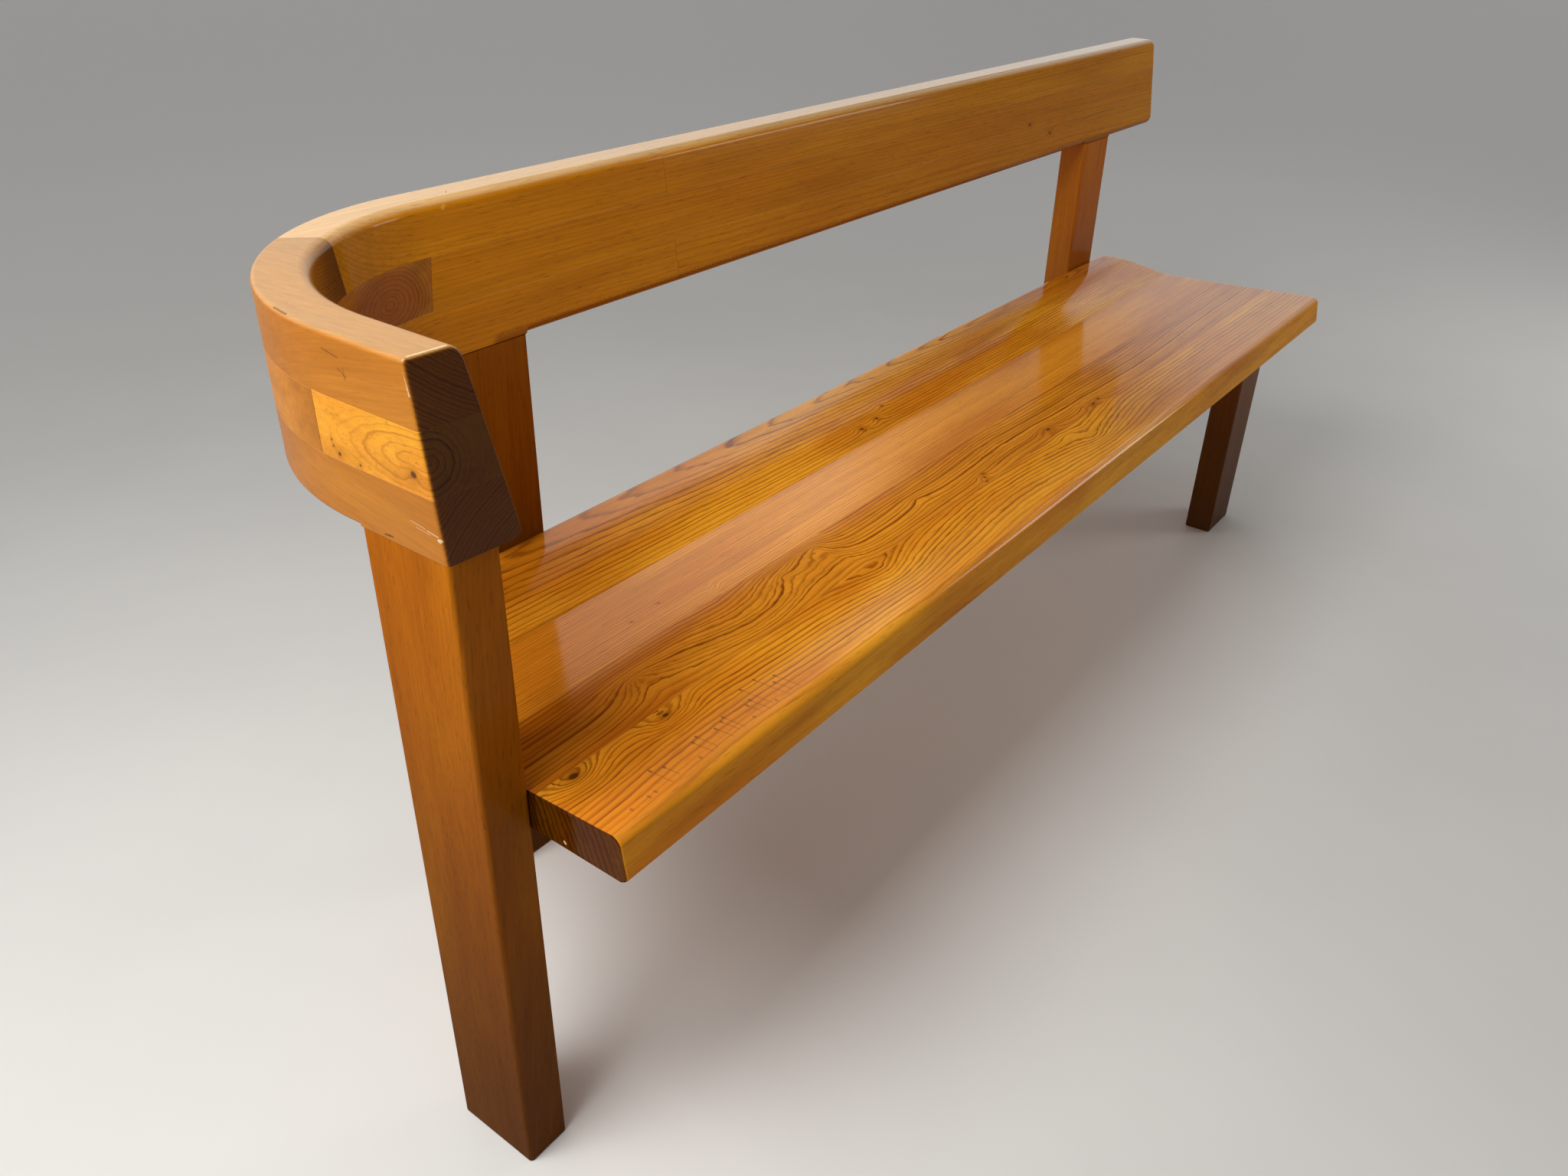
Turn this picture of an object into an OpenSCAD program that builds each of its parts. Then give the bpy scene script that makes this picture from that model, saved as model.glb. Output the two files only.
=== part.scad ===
/* [Overall] */
// Length from the outer face of the arm to the right end of the back rail
total_length = 1980; // [1700:10:2400]
// Height of the top of the back rail above the floor
total_height = 815; // [770:5:860]
// Height of the seat's raised rim above the floor
seat_height = 442; // [420:2:470]

/* [Seat] */
// Depth of the seat, from its front edge to the front faces of the back posts
seat_depth = 426; // [400:5:480]
// Thickness of the seat at its raised rim
seat_thickness = 45; // [42:1:60]
// How far the hollow dips below the rim
seat_hollow = 13; // [6:1:16]
// Depth of the front board
front_board_depth = 101; // [80:1:130]
// Depth of the middle board, behind the front board
middle_board_depth = 88; // [70:1:120]
// Depth of the back board, from the lowest line of the hollow to the back edge
back_board_depth = 134; // [110:1:160]
// Depth of the level strip along the back edge
back_rim_flat = 37; // [20:1:55]
// How far the seat stands forward of the front left post
seat_nose = 108; // [80:1:130]
// How far the seat runs past the back right post
seat_overhang = 48; // [20:1:90]
// How far the top of the front edge leans back from its bottom
seat_front_lean = 7; // [0:1:10]
// Rounding of the top front edge
seat_edge_radius = 10; // [4:1:14]
// Rounding of the bottom front edge
seat_lower_edge_radius = 6; // [2:1:9]
// Rounding of the right hand front corner, seen from above
seat_corner_radius = 8; // [3:1:20]
// Radius of the curve that takes off the seat's back left corner, seen from above
seat_curve_radius = 216; // [160:1:220]
// Rounding of the top back edge
seat_back_radius = 8; // [2:1:12]
// Easing of the seat's other edges
seat_ease = 3; // [1:0.5:5]

/* [Posts] */
// Thickness of the posts and the leg
post_thickness = 47; // [40:1:50]
// Width of the posts and the leg
post_width = 97; // [80:1:110]
// Easing of the long edges of the posts
post_ease = 4; // [1:0.5:6]
// Distance from the outer face of the arm to the back left post
back_left_post_offset = 267; // [264:1:360]
// How far the back rail runs past the back right post
rail_overhang = 192; // [60:1:260]
// How far the front right leg stands behind the front edge of the seat
leg_setback = 70; // [40:1:110]
// Distance from the right end of the seat to the front right leg
leg_inset = 36; // [15:1:90]

/* [Back rail and arm] */
// Height of the back rail and the arm
rail_height = 147; // [120:1:170]
// Width of the back rail at its top
rail_top_width = 44; // [38:1:50]
// Width of the back rail at its underside
rail_foot_width = 62; // [54:1:66]
// Outer radius of the curved corner
corner_radius = 269; // [240:1:270]
// Width of the arm's end at its top
arm_top_width = 44; // [36:1:50]
// Width of the arm's end at its underside
arm_foot_width = 67; // [56:1:72]
// Setback of the arm's end from the front of the post, at its lower outer corner
arm_end_setback = 0; // [0:1:8]
// Angle of the arm's end face across the arm, seen from above
arm_end_turn = 3.5; // [0:0.1:18]
// Angle at which the arm's end face leans back
arm_end_lean = 6.6; // [0:0.1:8]
// Rounding of the top inner edge
hand_radius = 11; // [5:1:16]
// Rounding of the bottom inner edge
rail_foot_radius = 8; // [3:1:12]
// Easing of the outer edges
rail_ease = 4; // [1:0.5:6]
// Rounding of the corners of the rail's right end, seen from the front
rail_end_radius = 10; // [3:1:20]

/* [Glued joints] */
// Distance from the corner's diagonal to the slanting joint of the outer layers
slant_joint_shift = 42; // [20:1:70]
// How far into the curve the joint of the middle layer lies on the arm's side
arm_joint_shift = 20; // [1:1:60]
// How far into the curve the middle of its joint lies on the rail's side
rail_joint_shift = 8; // [6:1:60]
// Angle at which the joint on the rail's side leans towards the rail
rail_joint_lean = 12; // [0:1:13]
// Distance from the outer face of the arm to the butt joint in the top layer
top_butt_reach = 597; // [450:1:1200]
// Distance from the outer face of the arm to the butt joint in the bottom layer
bottom_butt_reach = 601; // [450:1:1200]

/* [Tenons and dowels] */
// Thickness of the tenons
tenon_thickness = 15; // [10:1:20]
// Shoulder at each end of a tenon
tenon_shoulder = 15; // [8:1:25]
// Length of the posts' tenons, up into the rail
post_tenon_length = 34; // [20:1:36]
// Length of the leg's tenon, up into the seat
leg_tenon_length = 26; // [15:1:30]
// Diameter of the dowels
dowel_diameter = 12; // [8:1:16]
// Depth of a dowel in the post
dowel_in_post = 28; // [20:1:34]
// Depth of a dowel in the seat
dowel_in_seat = 36; // [25:1:50]
// Distance between the two dowels of a pair
dowel_spacing = 44; // [36:1:60]
// Room for glue round a dowel or tenon
glue_room = 0.15; // [0.1:0.05:0.3]

/* [Hidden] */
$fn = 96;

// How many straight steps round an eased corner, along a hollow and along the arm
corner_steps = 4;
hollow_steps = 16;
arm_steps = 4;
// Larger than the bench in every direction
beyond = 2 * total_length;

// Places across the bench, from left to right
arm_face_x = -total_length / 2;
rail_end_x = total_length / 2;
seat_left_x = arm_face_x + post_thickness;
back_left_x = arm_face_x + back_left_post_offset;
back_right_x = rail_end_x - rail_overhang - post_width;
seat_right_x = rail_end_x - rail_overhang + seat_overhang;
leg_x = seat_right_x - leg_inset - post_width;

// Places from the front to the back
total_depth = seat_depth + rail_foot_width;
seat_front_y = -total_depth / 2;
post_front_y = seat_front_y + seat_nose;
back_post_y = seat_front_y + seat_depth;
rail_back_y = back_post_y + rail_foot_width;
front_joint_y = seat_front_y + front_board_depth;
middle_joint_y = front_joint_y + middle_board_depth;
hollow_y = back_post_y - back_board_depth;
leg_front_y = seat_front_y + leg_setback;

// Heights
seat_under_z = seat_height - seat_thickness;
hollow_z = seat_height - seat_hollow;
rail_under_z = total_height - rail_height;
layer_height = rail_height / 3;
dowel_z = seat_under_z + seat_thickness / 2;

// Middle of the corner's curve
corner_x = arm_face_x + corner_radius;
corner_y = rail_back_y - corner_radius;

// Joints of the middle layer
arm_joint_y = corner_y + arm_joint_shift;
rail_joint_x = corner_x - rail_joint_shift;

function unit(v) = v / norm(v);

// Points of a rounded corner at p, between the neighbouring points a and b
function eased(a, p, b, radius) =
    let (
        to_a = unit(a - p),
        to_b = unit(b - p),
        half = acos(to_a * to_b) / 2,
        centre = p + unit(to_a + to_b) * radius / sin(half),
        first = p + to_a * radius / tan(half),
        last = p + to_b * radius / tan(half)
    )
    [
        for (i = [0 : corner_steps])
            let (t = i / corner_steps)
                centre + unit(first * (1 - t) + last * t - centre) * radius
    ];

// Closed outline with every corner rounded by its own radius
function eased_outline(points, radii) =
    let (n = len(points))
    [
        for (i = [0 : n - 1])
            each eased(points[(i + n - 1) % n], points[i], points[(i + 1) % n], radii[i])
    ];

// Section of the rail: x runs inwards from the outer face, y up from the underside
function rail_section(foot_width, top_width) =
    eased_outline(
        [[0, 0], [foot_width, 0], [top_width, rail_height], [0, rail_height]],
        [rail_ease, rail_foot_radius, hand_radius, rail_ease]
    );

// The same section measured outwards from the middle of the corner's curve
function curve_section(foot_width, top_width) =
    [
        for (p = rail_section(foot_width, top_width))
            [corner_radius - p.x, p.y]
    ];

// One ring of the arm: t runs from 0 at the corner to 1 at the end face
function arm_ring(t) =
    let (
        outline = curve_section(
            rail_foot_width * (1 - t) + arm_foot_width * t,
            rail_top_width * (1 - t) + arm_top_width * t
        )
    )
    [
        for (p = outline)
            let (
                end_y = post_front_y + arm_end_setback - corner_y
                    - (corner_radius - p.x) * tan(arm_end_turn) + p.y * tan(arm_end_lean)
            )
                [-p.x, end_y * t, p.y]
    ];

// Solid through a list of rings that have the same number of points
module ring_solid(rings) {
    n = len(rings[0]);
    last = len(rings) - 1;
    sides = [
        for (k = [0 : last - 1], i = [0 : n - 1])
            let (
                a = k * n + i,
                b = k * n + (i + 1) % n,
                c = a + n,
                d = b + n
            )
                each [[a, d, b], [a, c, d]]
    ];
    start = [[for (i = [0 : n - 1]) i]];
    end = [[for (i = [n - 1 : -1 : 0]) last * n + i]];
    polyhedron(points = [for (ring = rings) each ring], faces = concat(sides, start, end));
}

// Outline in y and z, drawn along x from x_from to x_to
module along_x(outline, x_from, x_to) {
    translate([x_from, 0, 0])
        rotate([90, 0, 90])
            linear_extrude(x_to - x_from)
                polygon(outline);
}

// Board that stands on end, its four long edges eased
module upright(x, y, width, depth, z_from, z_to) {
    translate([x, y, z_from])
        linear_extrude(z_to - z_from)
            polygon(eased_outline(
                [[0, 0], [width, 0], [width, depth], [0, depth]],
                [post_ease, post_ease, post_ease, post_ease]
            ));
}

// Straight length of the back rail, with the corners of its right end rounded
module rail_straight() {
    intersection() {
        translate([corner_x, corner_y, rail_under_z])
            along_x(curve_section(rail_foot_width, rail_top_width), 0, rail_end_x - corner_x);
        rotate([90, 0, 0])
            linear_extrude(beyond, center = true)
                polygon(eased_outline(
                    [
                        [corner_x - beyond, rail_under_z],
                        [rail_end_x, rail_under_z],
                        [rail_end_x, total_height],
                        [corner_x - beyond, total_height]
                    ],
                    [rail_ease, rail_end_radius, rail_end_radius, rail_ease]
                ));
    }
}

// Quarter turn from the back rail to the arm
module rail_corner() {
    translate([corner_x, corner_y, rail_under_z])
        rotate([0, 0, 90])
            rotate_extrude(angle = 90)
                polygon(curve_section(rail_foot_width, rail_top_width));
}

// Last length of the arm, which widens to its leaning end face
module arm_length() {
    translate([corner_x, corner_y, rail_under_z])
        ring_solid([for (k = [0 : arm_steps]) arm_ring(k / arm_steps)]);
}

// One of the three glued layers, counted from 0 at the bottom
module layer(index) {
    translate([-beyond / 2, -beyond / 2, rail_under_z + index * layer_height])
        cube([beyond, beyond, layer_height]);
}

// Everything on the back rail's side of the slanting joint
module beyond_slant() {
    translate([corner_x, corner_y, 0])
        rotate([0, 0, 45])
            translate([slant_joint_shift, -beyond / 2, 0])
                cube([beyond, beyond, beyond]);
}

// Everything to the right of x
module right_of(x) {
    translate([x, -beyond / 2, 0])
        cube([beyond, beyond, beyond]);
}

// Everything on the back rail's side of the corner block's leaning joint
module beyond_rail_joint() {
    translate([rail_joint_x, 0, rail_under_z + rail_height / 2])
        rotate([0, rail_joint_lean, 0])
            translate([0, -beyond / 2, -beyond / 2])
                cube([beyond, beyond, beyond]);
}

// Everything in front of y
module front_of(y) {
    translate([-beyond / 2, y - beyond, 0])
        cube([beyond, beyond, beyond]);
}

// Tenon on top of an upright, or its mortise when room is added round it
module tenon(x, y, width, depth, z, length, room) {
    along_width = width > depth;
    wide = (along_width ? width : depth) - 2 * tenon_shoulder + 2 * room;
    thick = tenon_thickness + 2 * room;
    size_x = along_width ? wide : thick;
    size_y = along_width ? thick : wide;
    translate([x + (width - size_x) / 2, y + (depth - size_y) / 2, z - (room > 0 ? 1 : 0)])
        cube([size_x, size_y, length + room + (room > 0 ? 1 : 0)]);
}

module front_left_tenon(room) {
    tenon(
        arm_face_x, post_front_y, post_thickness, post_width,
        rail_under_z, post_tenon_length, room
    );
}

module back_post_tenon(x, room) {
    tenon(x, back_post_y, post_width, post_thickness, rail_under_z, post_tenon_length, room);
}

module leg_tenon(room) {
    tenon(leg_x, leg_front_y, post_width, post_thickness, seat_under_z, leg_tenon_length, room);
}

// Pair of dowels between the front left post and the left end of the seat
module left_end_pair(room) {
    for (side = [-1, 1])
        translate([
            seat_left_x - dowel_in_post - room,
            post_front_y + post_width / 2 + side * dowel_spacing / 2,
            dowel_z
        ])
            rotate([0, 90, 0])
                cylinder(
                    d = dowel_diameter + 2 * room,
                    h = dowel_in_post + dowel_in_seat + 2 * room
                );
}

// Pair of dowels between a back post and the back edge of the seat
module back_pair(post_x, room) {
    for (side = [-1, 1])
        translate([
            post_x + post_width / 2 + side * dowel_spacing / 2,
            back_post_y + dowel_in_post + room,
            dowel_z
        ])
            rotate([90, 0, 0])
                cylinder(
                    d = dowel_diameter + 2 * room,
                    h = dowel_in_post + dowel_in_seat + 2 * room
                );
}

// Height of the seat's front rise: t runs from 0 in the hollow to 1 at the front edge
function scoop_z(t) = hollow_z + seat_hollow * pow(t, 1.15);

// Height of the seat's back rise: t runs from 0 in the hollow to 1 at the level strip
function saddle_z(t) = hollow_z + seat_hollow * (sin(90 * t) + (1 - cos(180 * t)) / 2) / 2;

// Outline of the seat seen from above
module seat_plan() {
    translate([0, 0, seat_under_z])
        linear_extrude(seat_thickness)
            difference() {
                polygon(eased_outline(
                    [
                        [seat_left_x, seat_front_y],
                        [seat_right_x, seat_front_y],
                        [seat_right_x, back_post_y],
                        [seat_left_x, back_post_y]
                    ],
                    [seat_ease, seat_corner_radius, seat_ease, seat_ease]
                ));
                difference() {
                    translate([seat_left_x - 1, back_post_y - seat_curve_radius])
                        square([seat_curve_radius + 1, seat_curve_radius + 1]);
                    translate([
                        seat_left_x + seat_curve_radius,
                        back_post_y - seat_curve_radius
                    ])
                        circle(seat_curve_radius);
                }
            }
}

// Section of the seat from front to back
function seat_section() =
    let (
        front_run = hollow_y - seat_front_y,
        back_run = back_board_depth - back_rim_flat,
        bottom_front = [seat_front_y, seat_under_z],
        top_front = [seat_front_y + seat_front_lean, seat_height],
        top_back = [back_post_y, seat_height],
        bottom_back = [back_post_y, seat_under_z],
        front_rise = [
            for (i = [0 : hollow_steps])
                let (t = 0.9 * (1 - i / hollow_steps))
                    [hollow_y - front_run * t, scoop_z(t)]
        ],
        back_rise = [
            for (i = [1 : hollow_steps])
                let (t = i / hollow_steps)
                    [hollow_y + back_run * t, saddle_z(t)]
        ]
    )
    concat(
        eased(bottom_back, bottom_front, top_front, seat_lower_edge_radius),
        eased(bottom_front, top_front, front_rise[0], seat_edge_radius),
        front_rise,
        back_rise,
        eased(back_rise[hollow_steps - 1], top_back, bottom_back, seat_back_radius),
        eased(top_back, bottom_back, bottom_front, seat_ease)
    );

// One board of the seat, with the sockets that reach it
module seat_board(y_from, y_to) {
    difference() {
        intersection() {
            along_x(seat_section(), seat_left_x, seat_right_x);
            seat_plan();
            translate([-beyond / 2, y_from, 0])
                cube([beyond, y_to - y_from, beyond]);
        }
        left_end_pair(glue_room);
        leg_tenon(glue_room);
        back_pair(back_left_x, glue_room);
        back_pair(back_right_x, glue_room);
    }
}

module seat_front_board() {
    color("darkorange") seat_board(seat_front_y - 1, front_joint_y);
}

module seat_middle_board() {
    color("orange") seat_board(front_joint_y, middle_joint_y);
}

module seat_hollow_board() {
    color("darkorange") seat_board(middle_joint_y, hollow_y);
}

module seat_back_board() {
    color("orange") seat_board(hollow_y, back_post_y + 1);
}

module front_left_post() {
    color("peru")
        difference() {
            union() {
                upright(
                    arm_face_x, post_front_y, post_thickness, post_width, 0, rail_under_z
                );
                front_left_tenon(0);
            }
            left_end_pair(glue_room);
        }
}

module back_post(x) {
    difference() {
        union() {
            upright(x, back_post_y, post_width, post_thickness, 0, rail_under_z);
            back_post_tenon(x, 0);
        }
        back_pair(x, glue_room);
    }
}

module back_left_post() {
    color("peru") back_post(back_left_x);
}

module back_right_post() {
    color("peru") back_post(back_right_x);
}

module front_right_leg() {
    color("sienna") {
        upright(leg_x, leg_front_y, post_width, post_thickness, 0, seat_under_z);
        leg_tenon(0);
    }
}

module rail_top_long() {
    color("goldenrod")
        intersection() {
            rail_straight();
            layer(2);
            right_of(arm_face_x + top_butt_reach);
        }
}

module rail_top_curved() {
    color("orange")
        difference() {
            intersection() {
                union() {
                    rail_straight();
                    rail_corner();
                }
                layer(2);
                beyond_slant();
            }
            right_of(arm_face_x + top_butt_reach);
        }
}

module rail_middle() {
    color("goldenrod")
        intersection() {
            union() {
                rail_straight();
                rail_corner();
            }
            layer(1);
            beyond_rail_joint();
        }
}

module rail_bottom_long() {
    color("goldenrod")
        difference() {
            intersection() {
                rail_straight();
                layer(0);
                right_of(arm_face_x + bottom_butt_reach);
            }
            back_post_tenon(back_right_x, glue_room);
        }
}

module rail_bottom_curved() {
    color("orange")
        difference() {
            intersection() {
                union() {
                    rail_straight();
                    rail_corner();
                }
                layer(0);
                beyond_slant();
            }
            right_of(arm_face_x + bottom_butt_reach);
            back_post_tenon(back_left_x, glue_room);
        }
}

module corner_middle() {
    color("sienna")
        difference() {
            intersection() {
                rail_corner();
                layer(1);
            }
            beyond_rail_joint();
            front_of(arm_joint_y);
        }
}

module arm_top() {
    color("chocolate")
        difference() {
            intersection() {
                union() {
                    rail_corner();
                    arm_length();
                }
                layer(2);
            }
            beyond_slant();
        }
}

module arm_middle() {
    color("gold")
        intersection() {
            union() {
                rail_corner();
                arm_length();
            }
            layer(1);
            front_of(arm_joint_y);
        }
}

module arm_bottom() {
    color("chocolate")
        difference() {
            intersection() {
                union() {
                    rail_corner();
                    arm_length();
                }
                layer(0);
            }
            beyond_slant();
            front_left_tenon(glue_room);
        }
}

module left_end_dowels() {
    color("wheat") left_end_pair(0);
}

module back_left_dowels() {
    color("wheat") back_pair(back_left_x, 0);
}

module back_right_dowels() {
    color("wheat") back_pair(back_right_x, 0);
}

seat_front_board();
seat_middle_board();
seat_hollow_board();
seat_back_board();
front_left_post();
back_left_post();
back_right_post();
front_right_leg();
rail_top_long();
rail_top_curved();
rail_middle();
rail_bottom_long();
rail_bottom_curved();
corner_middle();
arm_top();
arm_middle();
arm_bottom();
left_end_dowels();
back_left_dowels();
back_right_dowels();
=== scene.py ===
"""Corner bench of varnished elm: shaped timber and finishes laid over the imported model."""

from __future__ import annotations

import logging
import math
from collections.abc import Callable, Iterable
from dataclasses import dataclass, field, replace
from enum import Enum, Flag, auto

import bmesh
import bpy
from mathutils import Euler, Matrix, Vector

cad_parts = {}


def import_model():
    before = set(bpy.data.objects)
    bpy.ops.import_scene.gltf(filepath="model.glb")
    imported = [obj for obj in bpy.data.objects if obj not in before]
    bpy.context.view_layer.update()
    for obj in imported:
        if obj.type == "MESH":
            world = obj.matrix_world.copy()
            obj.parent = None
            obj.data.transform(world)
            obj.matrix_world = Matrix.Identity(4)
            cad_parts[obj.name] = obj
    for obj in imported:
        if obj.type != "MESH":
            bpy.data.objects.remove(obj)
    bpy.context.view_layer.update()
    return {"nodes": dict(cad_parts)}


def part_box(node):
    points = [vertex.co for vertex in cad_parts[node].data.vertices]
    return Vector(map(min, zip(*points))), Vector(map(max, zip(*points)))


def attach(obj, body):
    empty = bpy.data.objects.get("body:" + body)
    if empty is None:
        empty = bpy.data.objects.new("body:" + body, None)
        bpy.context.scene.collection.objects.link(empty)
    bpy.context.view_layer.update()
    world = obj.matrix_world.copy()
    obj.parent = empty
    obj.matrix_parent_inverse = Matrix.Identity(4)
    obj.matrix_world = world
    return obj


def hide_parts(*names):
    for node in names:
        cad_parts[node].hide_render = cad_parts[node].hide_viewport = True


LOG = logging.getLogger("bench")
BODY = "root"
LEG = "front_right_leg"
SHARP_ANGLE = math.radians(38)
JOINT_ANGLE = math.radians(40)
EVEN_SHADING = 80
RIGHT, BACK, UP = Vector((1.0, 0.0, 0.0)), Vector((0.0, 1.0, 0.0)), Vector((0.0, 0.0, 1.0))

Point = tuple[float, float, float]
Colour = tuple[float, float, float]


# Sizes of the bench


@dataclass(frozen=True)
class BenchSizes:
    """Driving sizes of the bench in metres, and the places that follow from them."""

    length: float = 1.980
    height: float = 0.815
    seat_height: float = 0.442
    seat_depth: float = 0.426
    seat_thickness: float = 0.045
    seat_hollow: float = 0.013
    hollow_bend: float = 1.15
    front_board_depth: float = 0.101
    middle_board_depth: float = 0.088
    back_board_depth: float = 0.134
    back_rim_flat: float = 0.037
    seat_nose: float = 0.108
    seat_overhang: float = 0.048
    post_thickness: float = 0.047
    post_width: float = 0.097
    back_left_post_offset: float = 0.267
    rail_overhang: float = 0.192
    leg_setback: float = 0.070
    leg_inset: float = 0.036
    rail_height: float = 0.147
    rail_foot_width: float = 0.062
    rail_top_width: float = 0.044
    corner_radius: float = 0.269

    # Along the bench: its ends, the seat's ends and the left sides of the posts and the leg
    arm_face_x: float = -length / 2
    rail_end_x: float = length / 2
    seat_left_x: float = arm_face_x + post_thickness
    seat_right_x: float = rail_end_x - rail_overhang + seat_overhang
    back_left_x: float = arm_face_x + back_left_post_offset
    back_right_x: float = rail_end_x - rail_overhang - post_width
    leg_x: float = seat_right_x - leg_inset - post_width

    # From front to back: fronts of the seat and the posts, back of the rail and the seat's joints
    seat_front_y: float = -(seat_depth + rail_foot_width) / 2
    post_front_y: float = seat_front_y + seat_nose
    back_post_y: float = seat_front_y + seat_depth
    rail_back_y: float = back_post_y + rail_foot_width
    front_joint_y: float = seat_front_y + front_board_depth
    middle_joint_y: float = front_joint_y + middle_board_depth
    hollow_y: float = back_post_y - back_board_depth

    # Upwards: undersides, the hollow's lowest line and the height of one glued layer
    seat_under_z: float = seat_height - seat_thickness
    hollow_z: float = seat_height - seat_hollow
    rail_under_z: float = height - rail_height
    layer_height: float = rail_height / 3

    @property
    def curve_centre(self) -> Vector:
        """Middle of the corner's curve, at the rail's underside."""
        x = self.arm_face_x + self.corner_radius
        return Vector((x, self.rail_back_y - self.corner_radius, self.rail_under_z))

    def seat_top(self, y: float) -> float:
        """Height of the hollowed seat at a place from front to back.

        Args:
            y: Place from front to back.

        Returns:
            The height above the floor.
        """
        if y < self.hollow_y:
            climb = ((self.hollow_y - y) / (self.hollow_y - self.seat_front_y)) ** self.hollow_bend
        else:
            run = min(1.0, (y - self.hollow_y) / (self.back_board_depth - self.back_rim_flat))
            climb = (math.sin(run * math.pi / 2) + (1 - math.cos(run * math.pi)) / 2) / 2
        return self.hollow_z + self.seat_hollow * climb


def placed(name: str, data: bpy.types.ID) -> bpy.types.Object:
    """Makes an object and puts it into the scene.

    Args:
        name: Name of the object.
        data: Mesh, lamp or camera that it shows.

    Returns:
        The new object.
    """
    made = bpy.data.objects.new(name, data)
    bpy.context.scene.collection.objects.link(made)
    return made


# Shaping of timber


def drop(radius: float, past: float) -> float:
    """How far a rounding falls away, at a distance past its start."""
    return radius - math.sqrt(radius**2 - min(radius, past) ** 2) if past > 0 else 0.0


def rectangle(low: Vector, high: Vector, z: float, inset: float = 0.0) -> list[Vector]:
    """Corners of a level rectangle between two corners of a block."""
    left, right, front, back = low.x + inset, high.x - inset, low.y + inset, high.y - inset
    return [Vector((x, y, z)) for x, y in ((left, front), (right, front), (right, back), (left, back))]


def rounded(points: Iterable[Vector], radii: Iterable[float], steps: int = 6) -> list[Vector]:
    """Rounds the corners of a closed outline.

    Args:
        points: Corners of the outline, in order.
        radii: One radius for each corner.
        steps: Straight steps in each rounding.

    Returns:
        The points of the rounded outline.
    """
    corners = list(points)
    outline = []
    for i, (corner, radius) in enumerate(zip(corners, radii)):
        if radius == 0:
            outline.append(corner)
            continue
        to_last = (corners[i - 1] - corner).normalized()
        to_next = (corners[(i + 1) % len(corners)] - corner).normalized()
        half = math.acos(max(-1.0, min(1.0, to_last.dot(to_next)))) / 2
        centre = corner + (to_last + to_next).normalized() * radius / math.sin(half)
        first = corner + to_last * radius / math.tan(half) - centre
        last = corner + to_next * radius / math.tan(half) - centre
        for k in range(steps + 1):
            share = k / steps
            towards = (first * (1 - share) + last * share).normalized()
            outline.append(centre + towards * radius)
    return outline


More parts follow.
